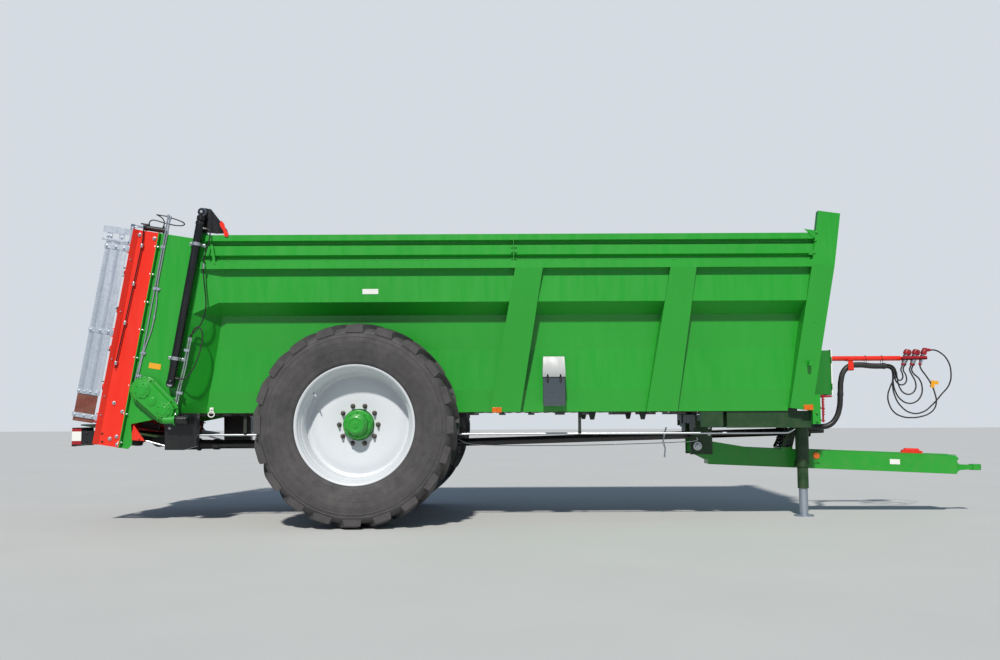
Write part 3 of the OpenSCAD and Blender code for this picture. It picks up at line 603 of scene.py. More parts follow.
def make_rim(name, side):
    """Rolled rim with its dished disc, the weld between them, and the valve."""
    rim = Shape(wheel_place(side))
    weld = [(-26, 492), (-16, 490), (-20, 480), (-27, 476)]
    for profile in (RIM_FACE + mirrored(RIM_UNDER), RIM_DISC, weld):
        rim.sleeve(profile, ORIGIN, OUT, 128)
    for t, r, t_end, r_end, d, d_end in ((118, 497, 150, 470, 22, 16), (148, 472, 176, 452, 13, 11)):
        rim.rod(round_point(t, r, -54), round_point(t_end, r_end, -54), d, 12, d_end)
    piece(f"rim_{name}_pressed", rim, "silver_rim_enamel", f"wheel_{name}", [f"rim_{name}"], smooth=25)


def make_hub(name, side):
    """Hub with its stepped cap, ribs and bolts, the brake drum behind it, and the wheel nuts."""
    hub = Shape(wheel_place(side))
    hub.sleeve(HUB_CAP, ORIGIN, OUT, 64)
    hub.sleeve([(-65, 60), (-65, 200), (-37, 200), (-35, 196), (-35, 60)], ORIGIN, OUT, 64)
    step = 360 / STUDS
    for i in range(STUDS):
        hub.bolt(round_point(69, 114, step * i), OUT, 17, washer=False)
        c, s = circle(1, 1, step * i)[0]
        rib = [(s * r + c * w, t, c * r - s * w)
               for r, t in ((137, 30), (145, 24), (145, -20), (137, -20)) for w in (-5, 5)]
        hub.add(rib, RIB_FACES)
    # The brake drum takes the near-black green that stands for shade inside the wheel: painted shade.
    hub.coat = 1
    hub.sleeve(BRAKE_DRUM, ORIGIN, OUT, 64)
    hub.coat = 2
    for i in range(STUDS):
        spot = round_point(-22, 184, step * (i + 0.5))
        hub.turned([(0, 24), (3, 24), (4, 21)], spot, OUT, 16)
        hub.turned([(3, 18.5), (24, 18.5), (29, 15)], spot, OUT, 6)
        hub.turned([(20, 11), (52, 11), (55, 9)], spot, OUT, 12)
    piece(f"hub_{name}_detailed", hub, ["green_enamel", "underframe_enamel", "chain_steel"],
          f"wheel_{name}", [f"hub_{name}"], edge=1.5)


# Rear: flaps, spreading unit, floor drive and gate

FLAP_FOOT, FLAP_HEAD = -210, 1540
SHEET_FOOT, STRIP_HEAD = FLAP_FOOT + 262, FLAP_FOOT + 275
HINGES = (-180, 640, 1460)
FLAP_AXIS = Matrix.Translation((-712, 1006, 0))
FLAP_SHEET = [
    (-18, -3), (-60, -3), (-70, 3), (-92, 3), (-102, -3), (-150, -3), (-160, 3), (-182, 3), (-192, -3),
    (-234, -3), (-234, -38), (-230, -38), (-230, 0), (-190, 0), (-180, 6), (-162, 6), (-152, 0), (-100, 0),
    (-90, 6), (-72, 6), (-62, 0), (-18, 0),
]
GATE_CYLINDER = Matrix.Translation((-60, 1052, 0))
PANEL_BACK, PANEL_FACE, PIPE_Y, ROD_Y = 985, 991, 1000, 1012


def make_flap(name, side):
    """Galvanised side flap with folded edges, pressed beads, hinge straps and its lever."""
    flap = Shape(on_side(REAR, side) @ FLAP_AXIS)
    flap.prism(FLAP_SHEET, SHEET_FOOT, FLAP_HEAD, "z")
    for w in HINGES:
        flap.sleeve([(0, 8.1), (0, 13), (3, 14), (57, 14), (60, 13), (60, 8.1)], (0, 0, w), UP)
        flap.block(-238, -10, 3, 8, w + 8, w + 52)
        flap.bolts((-45, -125, -215), 8, w + 30, OUT, 19)
    # Two rows of plate above the sheet, joined by upright tabs
    flap.block(-236, -20, -34, 8, FLAP_HEAD - 4, FLAP_HEAD)
    flap.block(-278, -20, -34, 8, FLAP_HEAD + 6, FLAP_HEAD + 22)
    for u in (-236, -120):
        flap.block(u, u + 56, -3, 3, FLAP_HEAD, FLAP_HEAD + 84)
    flap.block(-278, -20, 3, 7, FLAP_HEAD + 80, FLAP_HEAD + 142)
    flap.block(-278, -20, -30, 7, FLAP_HEAD + 140, FLAP_HEAD + 144)
    flap.bolts((-222, -194, -90), 3, FLAP_HEAD + 48, OUT, 17)
    # The lever that the cylinder pulls, on its post
    flap.turned([(0, 13), (166, 13)], (0, 0, 1534), UP, 20)
    flap.block(-40, -14, -3, 3, 1535, FLAP_HEAD)
    flap.prism([(-14, 12), (14, 12), (-18, -94), (-30, -98), (-58, -90), (-58, -76)], 1700, 1710, "z")
    flap.turned([(0, 8), (40, 8)], (-38.04, -81.57, 1709), UP, 16)
    # Lower strip of rubber sheet, clamped along its top edge
    flap.coat = 1
    flap.block(-228, -30, -6, -3, FLAP_FOOT, STRIP_HEAD)
    flap.coat = 0
    flap.block(-234, -24, 0, 4, STRIP_HEAD - 7, STRIP_HEAD + 33)
    flap.bolts((-50, -110, -165, -218), 4, STRIP_HEAD + 13, OUT, 15)
    piece(f"flap_{name}_folded", flap, ["hot_dip_galvanised_sheet", "rubber_sheet"], f"flap_{name}",
          [f"flap_{name}"], edge=0.8)


def make_unit_side(name, side):
    """Fittings on one side of the spreading unit: bolts, guide rod, steel pipes, and the flap cylinder's."""
    place = on_side(REAR, side)
    fittings = Shape(place)
    # Bolts through the flange between the green panel and the orange-red frame
    for w in range(-345, 1560, 271):
        fittings.bolt((-442, 1014, w), AHEAD, 16)
        fittings.turned([(0, 10), (9, 10)], (-458, 1014, w), (-1, 0, 0), 6)
    for u, w in ((-643, 1644), (-494, 1630), (-585, 10), (-490, -60), (-560, -330), (-500, -300),
                 (-480, -372)):
        fittings.bolt((u, PANEL_FACE, w), OUT, 26)
    fittings.bolts(-676, 1010, (1390, 880, 420, 60, -120), (-0.7, 0.7, 0), 14)
    # Guide rod with its sleeves
    eyes = [(-594, 1540), (-603, 1164), (-615, 779), (-629, 388)]
    for u, w in eyes:
        fittings.sleeve(mirrored([(18, 6), (18, 13), (14, 15)]), (u, ROD_Y, w), (0.035, 0, 1), 20)
        fittings.block(u - 6, u + 6, 990, 1006, w - 12, w + 12)
    piece(f"unit_fittings_{name}", fittings, "zinc_plated_steel", edge=0.5)
    rod = Shape(place)
    line = [(-611, 1745), (-600, 1640), *eyes, (-631, 340)]
    rod.swept(smooth_route([(u, ROD_Y, w) for u, w in line], 3), 11, 10)
    rod.rod((-560, ROD_Y, 1752), (-640, ROD_Y, 1752), 14, 12)
    piece(f"unit_guide_rod_{name}", rod, "black_enamel", smooth=40)

    pipes = Shape(place)
    for bend, route in ((60, ((-398, 1862), (-400, 520), (-420, 300), (-424, 180))),
                        (70, ((-376, 1850), (-380, 1180), (-352, 1000), (-353, 760), (-392, 545), (-402, 300),
                              (-406, 180)))):
        pipes.swept(bent_pipe([(u, PIPE_Y, w) for u, w in route], bend), 15, 12)
    pipes.coat = 1
    for w, u in ((1560, -368), (1150, -345), (520, -368), (300, -368)):
        pipes.block(-416, u, PANEL_FACE, 994, w - 14, w + 14)
        pipes.block(-414, u - 4, 1006, 1010, w - 12, w + 12)
        pipes.bolt(((-414 + u) / 2, 1010, w), OUT, 11, washer=False)
    for u, w in ((-352, 860), (-398, 1846), (-376, 1834)):
        pipes.turned([(0, 11), (34, 11)], (u, PIPE_Y, w), UP, 6)
    piece(f"unit_pipes_{name}", pipes, ["zinc_plated_steel", "galvanised_tube"], smooth=40)
    # Flap cylinder's gland, ports and foot pin on its barrel
    gland = Shape(place @ Matrix.Translation((0, 920, 1730)))
    gland.sleeve([(0, 12), (0, 27), (3, 29), (22, 29), (25, 26), (25, 12)], (-632, 0, 0), AHEAD, 28)
    for u in (-600, -455):
        gland.turned([(20, 11), (38, 11), (38, 8), (46, 8)], (u, 0, 0), UP, 6)
    gland.rod((-430, -26, -8), (-430, 26, -8), 14, 12)
    piece(f"flap_barrel_fittings_{name}", gland, "black_enamel", smooth=40)


def make_unit_plates():
    """Green side plates of the spreading unit, with the front corner of each foot cut away."""
    plates = Shape()
    for side in (-1, 1):
        plates.place = on_side(REAR, side)
        plates.prism([(-104, 1690), (-104, -60), (-386, -163), (-341, -347), (-370, -400), (-450, -400),
                      (-450, 1690)], PANEL_BACK, PANEL_FACE)
        plates.block(-450, -442, PANEL_BACK, 1031, -400, 1690)
    piece("unit_side_plates", plates, "green_enamel", stands_for=["unit_sides"], edge=1.0)


# Lobes of the floor drive's case: x, z and radius of each.
LOBES = (-2040, 1280, 125), (-1835, 1090, 115)
CASE_FACE, MOTOR_Y, MOTOR_Z = -1103, -1080, 1002


def lobes_outline(grow):
    """Both lobes and the straight flanks between them, as one closed line."""
    (x0, z0, r0), (x1, z1, r1) = LOBES
    heading = atan2(z1 - z0, x1 - x0)
    lean = acos((r0 - r1) / hypot(x1 - x0, z1 - z0))
    points = []
    for (x, z, r), start, end in ((LOBES[0], heading + lean, heading + 2 * pi - lean),
                                  (LOBES[1], heading - lean, heading + lean)):
        for a in (start + (end - start) * k / 16 for k in range(17)):
            points.append((x + (r + grow) * cos(a), z + (r + grow) * sin(a)))
    return points


def make_floor_drive():
    """Cast case of the floor drive on the right, with ribs and covers, its oil motor and their pipes."""
    case = Shape()
    for levels in (((-1040, -3), (-1043, 0), (-1062, 0), (-1064, -14), (-1096, -20), (-1104, -28),
                    (-1106, -44)),
                   ((-1040, 10), (-1052, 10), (-1054, 7), (-1054, -6), (-1040, -6))):
        case.loft([[(x, y, z) for x, z in lobes_outline(grow)] for y, grow in levels])
    for x, z, r in LOBES:
        case.turned([(0, r * 0.62), (10, r * 0.6), (12, r * 0.52), (14, r * 0.36), (18, r * 0.34), (19, 0.1)],
                    (x, CASE_FACE, z), RIGHT, 40)
        for u, w in circle(6, r * 0.5, 20):
            case.bolt((x + u, -1114, z + w), RIGHT, 13, washer=False)
        for c, s in circle(8, 1, 10):
            rib = [(x + r * f * c - w * s, y, z + r * f * s + w * c)
                   for f, y in ((0.6, -1112), (0.88, -1102), (0.97, -1064), (0.6, -1064)) for w in (-5, 5)]
            case.add(rib, RIB_FACES)
    case.turned([(0, 46), (8, 44), (10, 30), (13, 28), (13.5, 0.1)], (-1949.5, CASE_FACE, 1177), RIGHT, 32)
    for x, z in lobes_outline(2)[::3]:
        case.bolt((x, -1054, z), RIGHT, 15, washer=False)
    case.turned([(0, 38), (96, 38), (98, 52), (112, 52)], (-1836, MOTOR_Y, MOTOR_Z), AHEAD, 32)
    case.block(-2010, -1930, -1041, -991, 1230, 1290)
    case.bolts(-1970, -1041, (1236, 1284), RIGHT, 18)
    piece("floor_drive_case", case, "green_enamel", stands_for=["apron_gearbox"], edge=1.5, smooth=38)

    motor = Shape(AXLE @ Matrix.Translation((0, MOTOR_Y, MOTOR_Z)))
    motor.turned([(-1722, 44), (-1710, 46), (-1706, 40), (-1640, 40), (-1637, 46), (-1616, 46), (-1612, 40),
                  (-1604, 36), (-1600, 20)], ORIGIN, AHEAD, 36)
    for y, z in circle(4, 36, 45):
        motor.rod((-1722, y, z), (-1604, y, z), 12, 8)
    for x in (-1690, -1655):
        motor.turned([(34, 15), (52, 15), (52, 11), (66, 11)], (x, 0, 0), UP, 6)
    piece("floor_drive_motor", motor, "black_enamel", stands_for=["apron_motor"], edge=1.0)

    feed = Shape(on_side(REAR, -1))
    for u, y, foot in ((4, 1014, -12), (20, 1000, -24)):
        feed.swept(bent_pipe([(u + 16, y, 712), (u + 14, y, 400), (u, y, 280), (u, y, 90), (u + 4, 1050, 30),
                              (u + 30, 1072, foot)], 50), 14, 12)
        feed.turned([(0, 11), (36, 11)], (u + 16, y, 700), UP, 6)
    feed.coat = 1
    for w in (610, 200):
        feed.block(-6, 44, 986, 992, w - 14, w + 14)
        feed.block(-4, 42, 1020, 1025, w - 12, w + 12)
    piece("floor_drive_pipes", feed, ["zinc_plated_steel", "galvanised_tube"], smooth=40)


def make_gate_side(name, side):
    """Glands, ports, clamps and pins of one gate cylinder, and the board's brace and pointer beside it."""
    place = on_side(REAR, side)
    barrel = Shape(place @ GATE_CYLINDER)
    barrel.sleeve([(1822, 21), (1822, 43), (1826, 45), (1850, 45), (1854, 41), (1862, 30), (1862, 21)],
                  ORIGIN, UP, 40)
    barrel.turned([(262, 30), (270, 43), (300, 43), (304, 41)], ORIGIN, UP, 40)
    for w in (330, 1790):
        barrel.turned([(30, 17), (52, 17), (52, 12), (70, 12)], (0, 0, w), AHEAD, 6)
    piece(f"gate_barrel_fittings_{name}", barrel, "black_enamel", smooth=35, edge=1.0)
    clamps = Shape(place @ GATE_CYLINDER)
    for w in (500, 1614):
        clamps.sleeve([(w, 40.5), (w, 46), (w + 32, 46), (w + 32, 40.5)], ORIGIN, UP, 40)
        for u in (-61, 61):
            clamps.block(u - 17, u + 17, -40, -28, w, w + 32)
        for u in (-70, 70):
            clamps.block(u - 4, u + 4, -61, -40, w + 4, w + 28)
        clamps.bolts((-60, 60), -28, w + 16, OUT, 18)
    clamps.turned(mirrored([(34, 22), (30, 26)]), (0, 0, 270), OUT, 28)
    clamps.sleeve(mirrored([(26, 8), (26, 12)]), (104, -4, 1430), (0.16, -0.03, -1), 6)
    piece(f"gate_barrel_clamps_{name}", clamps, "zinc_plated_steel", edge=0.8)
    pin = Shape(place @ GATE_CYLINDER)
    pin.turned([(30, 15), (36, 15), (38, 12), (42, 12)], (0, 0, 1945), OUT, 20)
    pin.coat = 1
    pin.sleeve([(-29, 10), (-29, 34), (29, 34), (31, 31), (31, 10)], (0, 0, 1945), OUT, 32)
    pin.sleeve([(1864, 26), (1864, 42), (1902, 42), (1912, 32), (1912, 26)], ORIGIN, UP, 32)
    piece(f"gate_rod_pin_{name}", pin, ["zinc_plated_steel", "black_enamel"], "gate", edge=0.8)
    brace = Shape(place)
    brace.tapered((62, 86, 1012, 1026, 1650), (124, 148, 1012, 1026, 1470))
    piece(f"board_brace_{name}", brace, "green_enamel", edge=1.0)
    pointer = Shape(place)
    pointer.prism([(123, 1898), (154, 1875), (175, 1830), (215, 1785), (215, 1750), (180, 1750), (174, 1767),
                   (161, 1803), (127, 1835), (111, 1868)], 1013, 1021)
    pointer.turned([(0, 14), (12, 14), (14, 11)], (194, 1011, 1768), OUT, 20)
    piece(f"level_pointer_{name}", pointer, "orange_red_enamel", edge=1.0)


# Beaters and what drives them

BEATER_U, BEATER_Y = -560, 480
DISC_TOP, CORE_TOP, FLIGHT_TOP, FLIGHT_THICK = -208, 1540, 1500, 12
TURNS, FLIGHT_STEPS, KNIVES, PADDLES = 2.2, 110, 16, 4
SHAFT_HEIGHT = 742


def flight_spot(start, share):
    """Turn in degrees and height of a flight's underside, a share of the way up."""
    return start + 360 * TURNS * share, DISC_TOP + (FLIGHT_TOP - DISC_TOP - FLIGHT_THICK) * share


def make_beater(name, side):
    """Upright beater: core tube, two helical flights with bolted knives, and a disc with throwing paddles."""
    place = REAR @ Matrix.Translation((BEATER_U, side * BEATER_Y, 0)) @ Matrix.Diagonal((1, side, 1, 1))
    beater = Shape(place)
    beater.turned([(-305, 40), (-216, 40)], ORIGIN, UP, 32)
    beater.sleeve([(-220, 20), (-220, 388), (-218, 390), (-210, 390), (DISC_TOP, 388), (DISC_TOP, 20)],
                  ORIGIN, UP, 72)
    beater.sleeve([(DISC_TOP, 60), (DISC_TOP, 85), (CORE_TOP - 4, 85), (CORE_TOP, 82), (CORE_TOP, 30)],
                  ORIGIN, UP, 40)
    beater.rod((0, 0, CORE_TOP - 5), (0, 0, 1660), 60, 24)
    knives = Shape(place)
    for start in (0, 180):
        rings = []
        for i in range(FLIGHT_STEPS + 1):
            turn, w = flight_spot(start, i / FLIGHT_STEPS)
            c, s = circle(1, 1, turn)[0]
            rings.append([(r * c, r * s, w + lift)
                          for r, lift in ((82, 0), (352, 0), (355, 3), (355, 9), (352, 12), (82, 12))])
        beater.loft(rings)
        for k in range(KNIVES):
            turn, w = flight_spot(start, (k + 0.5) / KNIVES)
            knives.place = (place @ Matrix.Translation((0, 0, w + FLIGHT_THICK))
                            @ Matrix.Rotation(radians(turn), 4, "Z"))
            knives.prism([(298, -24), (372, -24), (398, -14), (398, 20), (380, 24), (298, 24)], 1, 11, "z")
            knives.bolts((316, 344), 0, 11, UP, 19)
    for k in range(PADDLES):
        knives.place = place @ Matrix.Rotation(radians(90 * k + 30), 4, "Z")
        knives.block(120, 386, -5, 5, DISC_TOP, -118)
        knives.block(120, 386, 5, 55, DISC_TOP, -202)
        knives.bolts((170, 330), 32, -202, UP, 22)
    body = f"beater_{name}"
    piece(f"beater_{name}_flights", beater, "orange_red_enamel", body, [body], smooth=40)
    piece(f"beater_{name}_knives", knives, "chain_steel", body, edge=1.0)


def make_gearboxes():
    """Gear housings under the tray, with the cross tube between them and the input shaft's case."""
    gears = Shape(REAR)
    for y in (-BEATER_Y, BEATER_Y):
        gears.turned([(-400, 96), (-394, 118), (-380, 124), (-330, 130), (-322, 126), (-276, 126),
                      (-268, 130), (-256, 130), (-250, 126), (-250, 41)], (BEATER_U, y, 0), UP, 48)
        for u, v in circle(12, 122):
            gears.turned([(-340, 9), (-322, 9)], (BEATER_U + u, y + v, 0), UP, 6)
    gears.prism([(-352, -374), (352, -374), (352, -292), (330, -282), (-330, -282), (-352, -292)],
                -616, -504, "x")
    gears.turned(mirrored([(90, 60), (90, 80), (80, 86)]), (-420, 0, -330), OUT, 32)
    gears.block(-502, -290, -78, 78, -388, -252)
    gears.bolts(-290, (-64, 64), (-376, -264), AHEAD, 18)
    gears.place = AXLE
    gears.turned([(-2100, 55), (-1860, 55), (-1856, 66), (-1830, 66), (-1826, 50), (-1705, 48), (-1705, 27)],
                 (0, 0, SHAFT_HEIGHT), AHEAD, 32)
    piece("beater_gearboxes", gears, "cast_steel", stands_for=["unit_gearbox"], edge=2.0, smooth=38)


def make_lamp_board(name, side):
    """Folded lamp board with its side marks and tail lamps."""
    place = on_side(AXLE, side)
    board = Shape(place)
    board.prism([(-2742, 755), (-2734, 755), (-2734, 924), (-2700, 924), (-2700, 932), (-2742, 932)],
                600, 985)
    for y in (600, 979):
        board.block(-2734, -2700, y, y + 6, 755, 924)
    board.block(-2638, -2420, 970, 985, 772, 903)
    board.block(-2702, -2637, 940, 984, 772, 903)
    board.bolts((-2600, -2450), 985, (800, 876), OUT, 18)
    # One node holds both boards, so only the left piece stands for it.
    node = ["lamp_boards"] if side > 0 else ()
    piece(f"lamp_board_{name}", board, "black_enamel", stands_for=node, edge=1.0)
    stripes = Shape(place)
    stripes.block(-2741, -2652, 984, 987, 807, 896)
    stripes.coat = 1
    for z0, z1 in ((774, 807), (896, 922)):
        stripes.block(-2741, -2652, 984, 986.5, z0, z1)
    piece(f"lamp_board_stripes_{name}", stripes, ["white_enamel", "dark_red_enamel"])
    lamp = Shape(place)
    for y in (650, 740):
        lamp.turned([(0, 40), (-12, 40), (-14, 36), (-14.5, 0.1)], (-2731, y, 850), AHEAD, 28)
    lamp.block(-2745.5, -2735, 800, 960, 790, 890)
    lamp.turned([(0, 30), (92, 30), (100, 24)], (-2690, 930, 800), AHEAD)
    piece(f"tail_lamp_{name}", lamp, "red_lens", edge=1.5)


def make_unit_foot(name, side):
    """Gusset and black box at the unit's foot, with the hydraulics' unions and the rod behind it."""
    place = on_side(AXLE, side)
    plates = Shape(place)
    plates.prism([(-2158, 957), (-2183, 812), (-2048, 804)], 968, 985.5)
    plates.bolt((-2100, 985.5, 826), OUT, 18)
    piece(f"unit_gusset_{name}", plates, "orange_red_enamel", edge=1.0)
    under = Shape(place)
    under.prism([(-1865, 1066), (-1855, 717), (-1675, 716), (-1552, 754), (-1555, 1066)], 905, PANEL_BACK)
    under.coat = 1
    under.rod((-2046, 960, 805), (-1850, 950, 752), 17, 14)
    for x, z in ((-1846, 1001), (-1790, 1004), (-1734, 1007), (-1679, 1010)):
        under.turned([(0, 15), (12, 15), (12, 11), (26, 11)], (x, PANEL_BACK, z), OUT, 6)
    under.bolt((-1813, PANEL_BACK, 925), OUT, 20)
    piece(f"unit_foot_{name}", under, ["black_enamel", "zinc_plated_steel"], edge=2.0)


# Hopper: board joint, reflectors, lashing rings and the chains on the floor

JOINT_X, RING_X = 1460, -1495
BOARD_BOLT_PITCH, JOINT_CLEARANCE = 480, 60


def make_hopper_side(name, side):
    """Fittings of one side wall: the boards' joint and bolts, lashing ring, reflectors and plain plates."""
    place = on_side(AXLE, side)
    strap = Shape(place)
    for x in (JOINT_X - 20, JOINT_X + 16):
        strap.block(x, x + 30, 986, 991, 2590, 2668)
        strap.block(x, x + 30, 949, 953, 2528, 2562)
        strap.bolts(x + 15, 991, (2606, 2652), OUT, 16)
        strap.bolt((x + 15, 953, 2545), OUT, 14, washer=False)
    strap.block(JOINT_X + 9, JOINT_X + 15, 950, 1011, 2522, 2781)
    for x in range(-1300, 4500, BOARD_BOLT_PITCH):
        if abs(x - JOINT_X) > JOINT_CLEARANCE:
            strap.bolt((x, 951, 2534), OUT, 16)
    piece(f"board_joint_{name}", strap, "green_enamel", edge=0.8)
    ring = Shape(place)
    ring.block(RING_X - 19, RING_X + 19, 722, 740, 1062, 1120)
    ring.bolt((RING_X, 740, 1102), OUT, 18)
    ring.swept([(RING_X + 30 * c, 742, 1052 + 26 * s) for c, s in circle(20, 1)], 12, 8, closed=True)
    piece(f"lashing_ring_rear_{name}", ring, "white_enamel", edge=0.8)
    marks = Shape(place)
    for x, z, y in ((1302, 1084, 799), (4333, 1097, 803)):
        marks.block(x - 46, x + 46, y, y + 10, z - 26, z + 26)
    piece(f"side_reflectors_{name}", marks, "amber_lens", edge=2.5)
    plate = Shape(place)
    plate.block(6, 160, 951, 953, 2206, 2256)
    piece(f"side_plate_{name}", plate, "white_enamel", edge=1.0)
    badge = Shape(on_side(REAR, side))
    badge.block(-320, -206, PANEL_FACE, 993, 388, 440)
    piece(f"unit_plate_{name}", badge, "yellow_plastic", edge=1.0)


LANES = (-600, -100, 100, 600)
LINKS, LINK_BAR = 240, 7
LOOP_REAR, LOOP_FRONT, LOOP_Z, LOOP_RADIUS = -1800, 4090, 1140, 75


def make_chains():
    """Four loops of round-link chain over the sprockets; each link is turned a quarter from the last."""
    straight = LOOP_FRONT - LOOP_REAR
    half_loop = straight + pi * LOOP_RADIUS
    middle = Vector(((LOOP_REAR + LOOP_FRONT) / 2, 0, LOOP_Z))

    def at(s):
        """A point and the heading at a distance s along the loop: forward on top, back below."""
        way = 1 if s < half_loop else -1
        s %= half_loop
        a = max(0, s - straight) / LOOP_RADIUS
        run = min(s, straight) - straight / 2 + LOOP_RADIUS * sin(a)
        return middle + Vector((run, 0, LOOP_RADIUS * cos(a))) * way, Vector((cos(a), 0, -sin(a))) * way

    chains = Shape()
    half = half_loop / LINKS + 1
    for lane, k in product(LANES, range(LINKS)):
        centre, along = at(2 * half_loop * (k + 0.5) / LINKS)
        centre.y = lane
        flat, wide = (Vector(OUT), 9.0) if k % 2 else (along.cross(Vector(OUT)), 5.5)
        chains.swept([centre + along * half * ((0.55 if c > 0 else -0.55) + 0.62 * c) + flat * wide * s
                      for c, s in circle(8, 1)], LINK_BAR, 5, closed=True)
    piece("floor_chain_links", chains, "chain_steel", stands_for=["floor_chains"], smooth=60)


# Front: hose arm with parked couplings, cabinet, step

ARM_Y, ARM_Z, RACK_FOOT = -190, 1605, 1590
COUPLINGS = ((5513, -222), (5558, -160), (5603, -222), (5648, -160), (5693, -222))
COUPLING_LEAN = Vector((60, 0, 170)).normalized()


def make_arm():
    """Hose arm with its flange, gussets and the hook that holds the hose bundle."""
    arm = Shape()
    arm.turned([(4430, 25), (5480, 25), (5487, 22)], (0, ARM_Y, ARM_Z), AHEAD, 28)
    arm.place = FRONT
    arm.block(-40, -26, -236, -144, 484, 624)
    arm.bolts(-26, (-222, -158), (500, 608), AHEAD, 22)
    arm.place = AXLE
    arm.prism([(4440, 1625), (4560, 1625), (4440, 1690)], ARM_Y - 4, ARM_Y + 4)
    arm.prism([(4430, 1585), (4540, 1585), (4430, 1530)], ARM_Y - 4, ARM_Y + 4)
    arm.prism([(4925, 1596), (4975, 1596), (4985, 1480), (4925, 1480)], -242, -234)
    arm.block(4925, 4975, -242, -150, 1578, 1586)
    arm.block(4930, 4982, -242, -150, 1480, 1488)
    piece("hose_arm_and_hook", arm, "orange_red_enamel", stands_for=["hose_arm"], edge=1.5)


def make_rack():
    """Folded rack at the arm's end with its couplings, their caps, and the tag on one hose."""
    rack, couplings, chrome = Shape(), Shape(), Shape()
    rack.prism([(5487, 1585), (5743, 1590), (5743, 1602), (5487, 1597)], -250, -130)
    for y in (-250, -135):
        rack.prism([(5487, 1585), (5743, 1590), (5743, 1625), (5487, 1625)], y, y + 5)
    lean = COUPLING_LEAN
    side = lean.orthogonal().normalized()
    for x, y in COUPLINGS:
        foot = Vector((x, y, RACK_FOOT))
        rack.turned([(10, 21), (14, 24), (30, 24), (34, 21)], foot, lean, 20)
        chrome.turned([(-44, 15), (-30, 15), (-30, 20), (34, 20), (34, 24), (46, 24), (46, 19), (58, 19)],
                      foot, lean, 20)
        couplings.turned([(54, 22), (58, 28), (66, 29), (96, 27), (108, 22), (112, 12), (113, 0.1)],
                         foot, lean)
        couplings.turned([(-64, 9), (-60, 17), (-42, 17)], foot, lean, 18)
        for c, s in circle(10, 28):
            spot = foot + lean * 62 + side * c + lean.cross(side) * s
            couplings.rod(spot, spot + lean * 30, 6, 6)
    piece("coupling_rack_folded", rack, "dark_red_enamel", stands_for=["coupling_rack"], edge=1.0)
    piece("coupling_caps", couplings, "coupling_plastic", edge=1.0)
    piece("coupling_plugs", chrome, "ground_chrome", edge=0.8)
    tag = Shape()
    tag.block(5772, 5806, -252, -246, 1296, 1372)
    tag.block(5806, 5848, -251, -247, 1330, 1366)
    tag.sleeve(mirrored([(9, 7), (9, 20)]), (5783, -233, 1318), (-0.33, 0.03, 1), 20)
    piece("hose_tag", tag, "yellow_plastic", edge=1.5)


# Name: diameter in millimetres, length in metres, route in millimetres from the axle
FRONT_HOSES = {
    # Wrapped bundle from the underframe up to the hook, then out under the arm
    "bundle_sleeved": (58, 1.34, [
        (4452, -190, 900), (4540, -190, 900), (4640, -190, 900), (4730, -190, 920), (4795, -190, 985),
        (4835, -190, 1090), (4850, -190, 1230), (4862, -190, 1380), (4895, -190, 1475), (4955, -190, 1525),
        (5050, -190, 1538), (5200, -190, 1526), (5330, -190, 1526)]),
    # Single hoses from the bundle's end, each in a loop up to its coupling
    "loop_hose": (15, 1.59, [
        (5330, -190, 1508), (5345, -190, 1508), (5388, -186, 1490), (5406, -180, 1445), (5400, -176, 1340),
        (5420, -174, 1220), (5480, -172, 1110), (5580, -172, 1040), (5700, -172, 1045), (5810, -174, 1125),
        (5905, -178, 1230), (5985, -184, 1330), (6008, -188, 1450), (5975, -190, 1585), (5900, -190, 1665),
        (5840, -190, 1690), (5812, -190, 1690)]),
    "hanging_hose": (15, 1.54, [
        (5330, -207, 1520), (5345, -207, 1520), (5388, -212, 1502), (5405, -220, 1460), (5396, -228, 1400),
        (5355, -234, 1310), (5325, -237, 1220), (5335, -238, 1130), (5385, -238, 1045), (5470, -238, 1000),
        (5565, -238, 990), (5655, -238, 1000), (5740, -238, 1030), (5798, -238, 1080), (5822, -238, 1150),
        (5812, -236, 1235), (5774, -232, 1345), (5724, -228, 1430), (5684, -224, 1492), (5674, -222, 1530),
        (5683, -222, 1561)]),
    "hose_c": (15, 1.06, [
        (5330, -173, 1520), (5348, -173, 1520), (5395, -164, 1500), (5413, -154, 1455), (5418, -148, 1370),
        (5440, -146, 1260), (5490, -146, 1180), (5560, -146, 1140), (5640, -146, 1150), (5700, -148, 1210),
        (5718, -150, 1300), (5690, -153, 1390), (5630, -157, 1450), (5612, -160, 1487), (5627, -160, 1530),
        (5638, -160, 1561)]),
    "hose_d": (15, 0.82, [
        (5330, -201, 1541), (5350, -201, 1541), (5400, -208, 1520), (5424, -216, 1475), (5436, -220, 1390),
        (5456, -222, 1300), (5505, -222, 1240), (5570, -222, 1235), (5618, -222, 1285), (5620, -222, 1360),
        (5588, -222, 1430), (5566, -222, 1485), (5582, -222, 1530), (5593, -222, 1561)]),
    "hose_e": (15, 0.58, [
        (5330, -179, 1541), (5350, -179, 1541), (5400, -172, 1522), (5422, -166, 1480), (5430, -163, 1420),
        (5456, -160, 1352), (5506, -160, 1330), (5548, -160, 1360), (5552, -160, 1420), (5524, -160, 1492),
        (5537, -160, 1530), (5548, -160, 1561)]),
    "hose_f": (15, 0.44, [
        (5330, -190, 1526), (5350, -190, 1526), (5398, -192, 1512), (5424, -198, 1475), (5430, -200, 1430),
        (5444, -202, 1390), (5470, -208, 1376), (5492, -216, 1400), (5490, -222, 1440), (5476, -222, 1485),
        (5492, -222, 1530), (5503, -222, 1561)]),
}

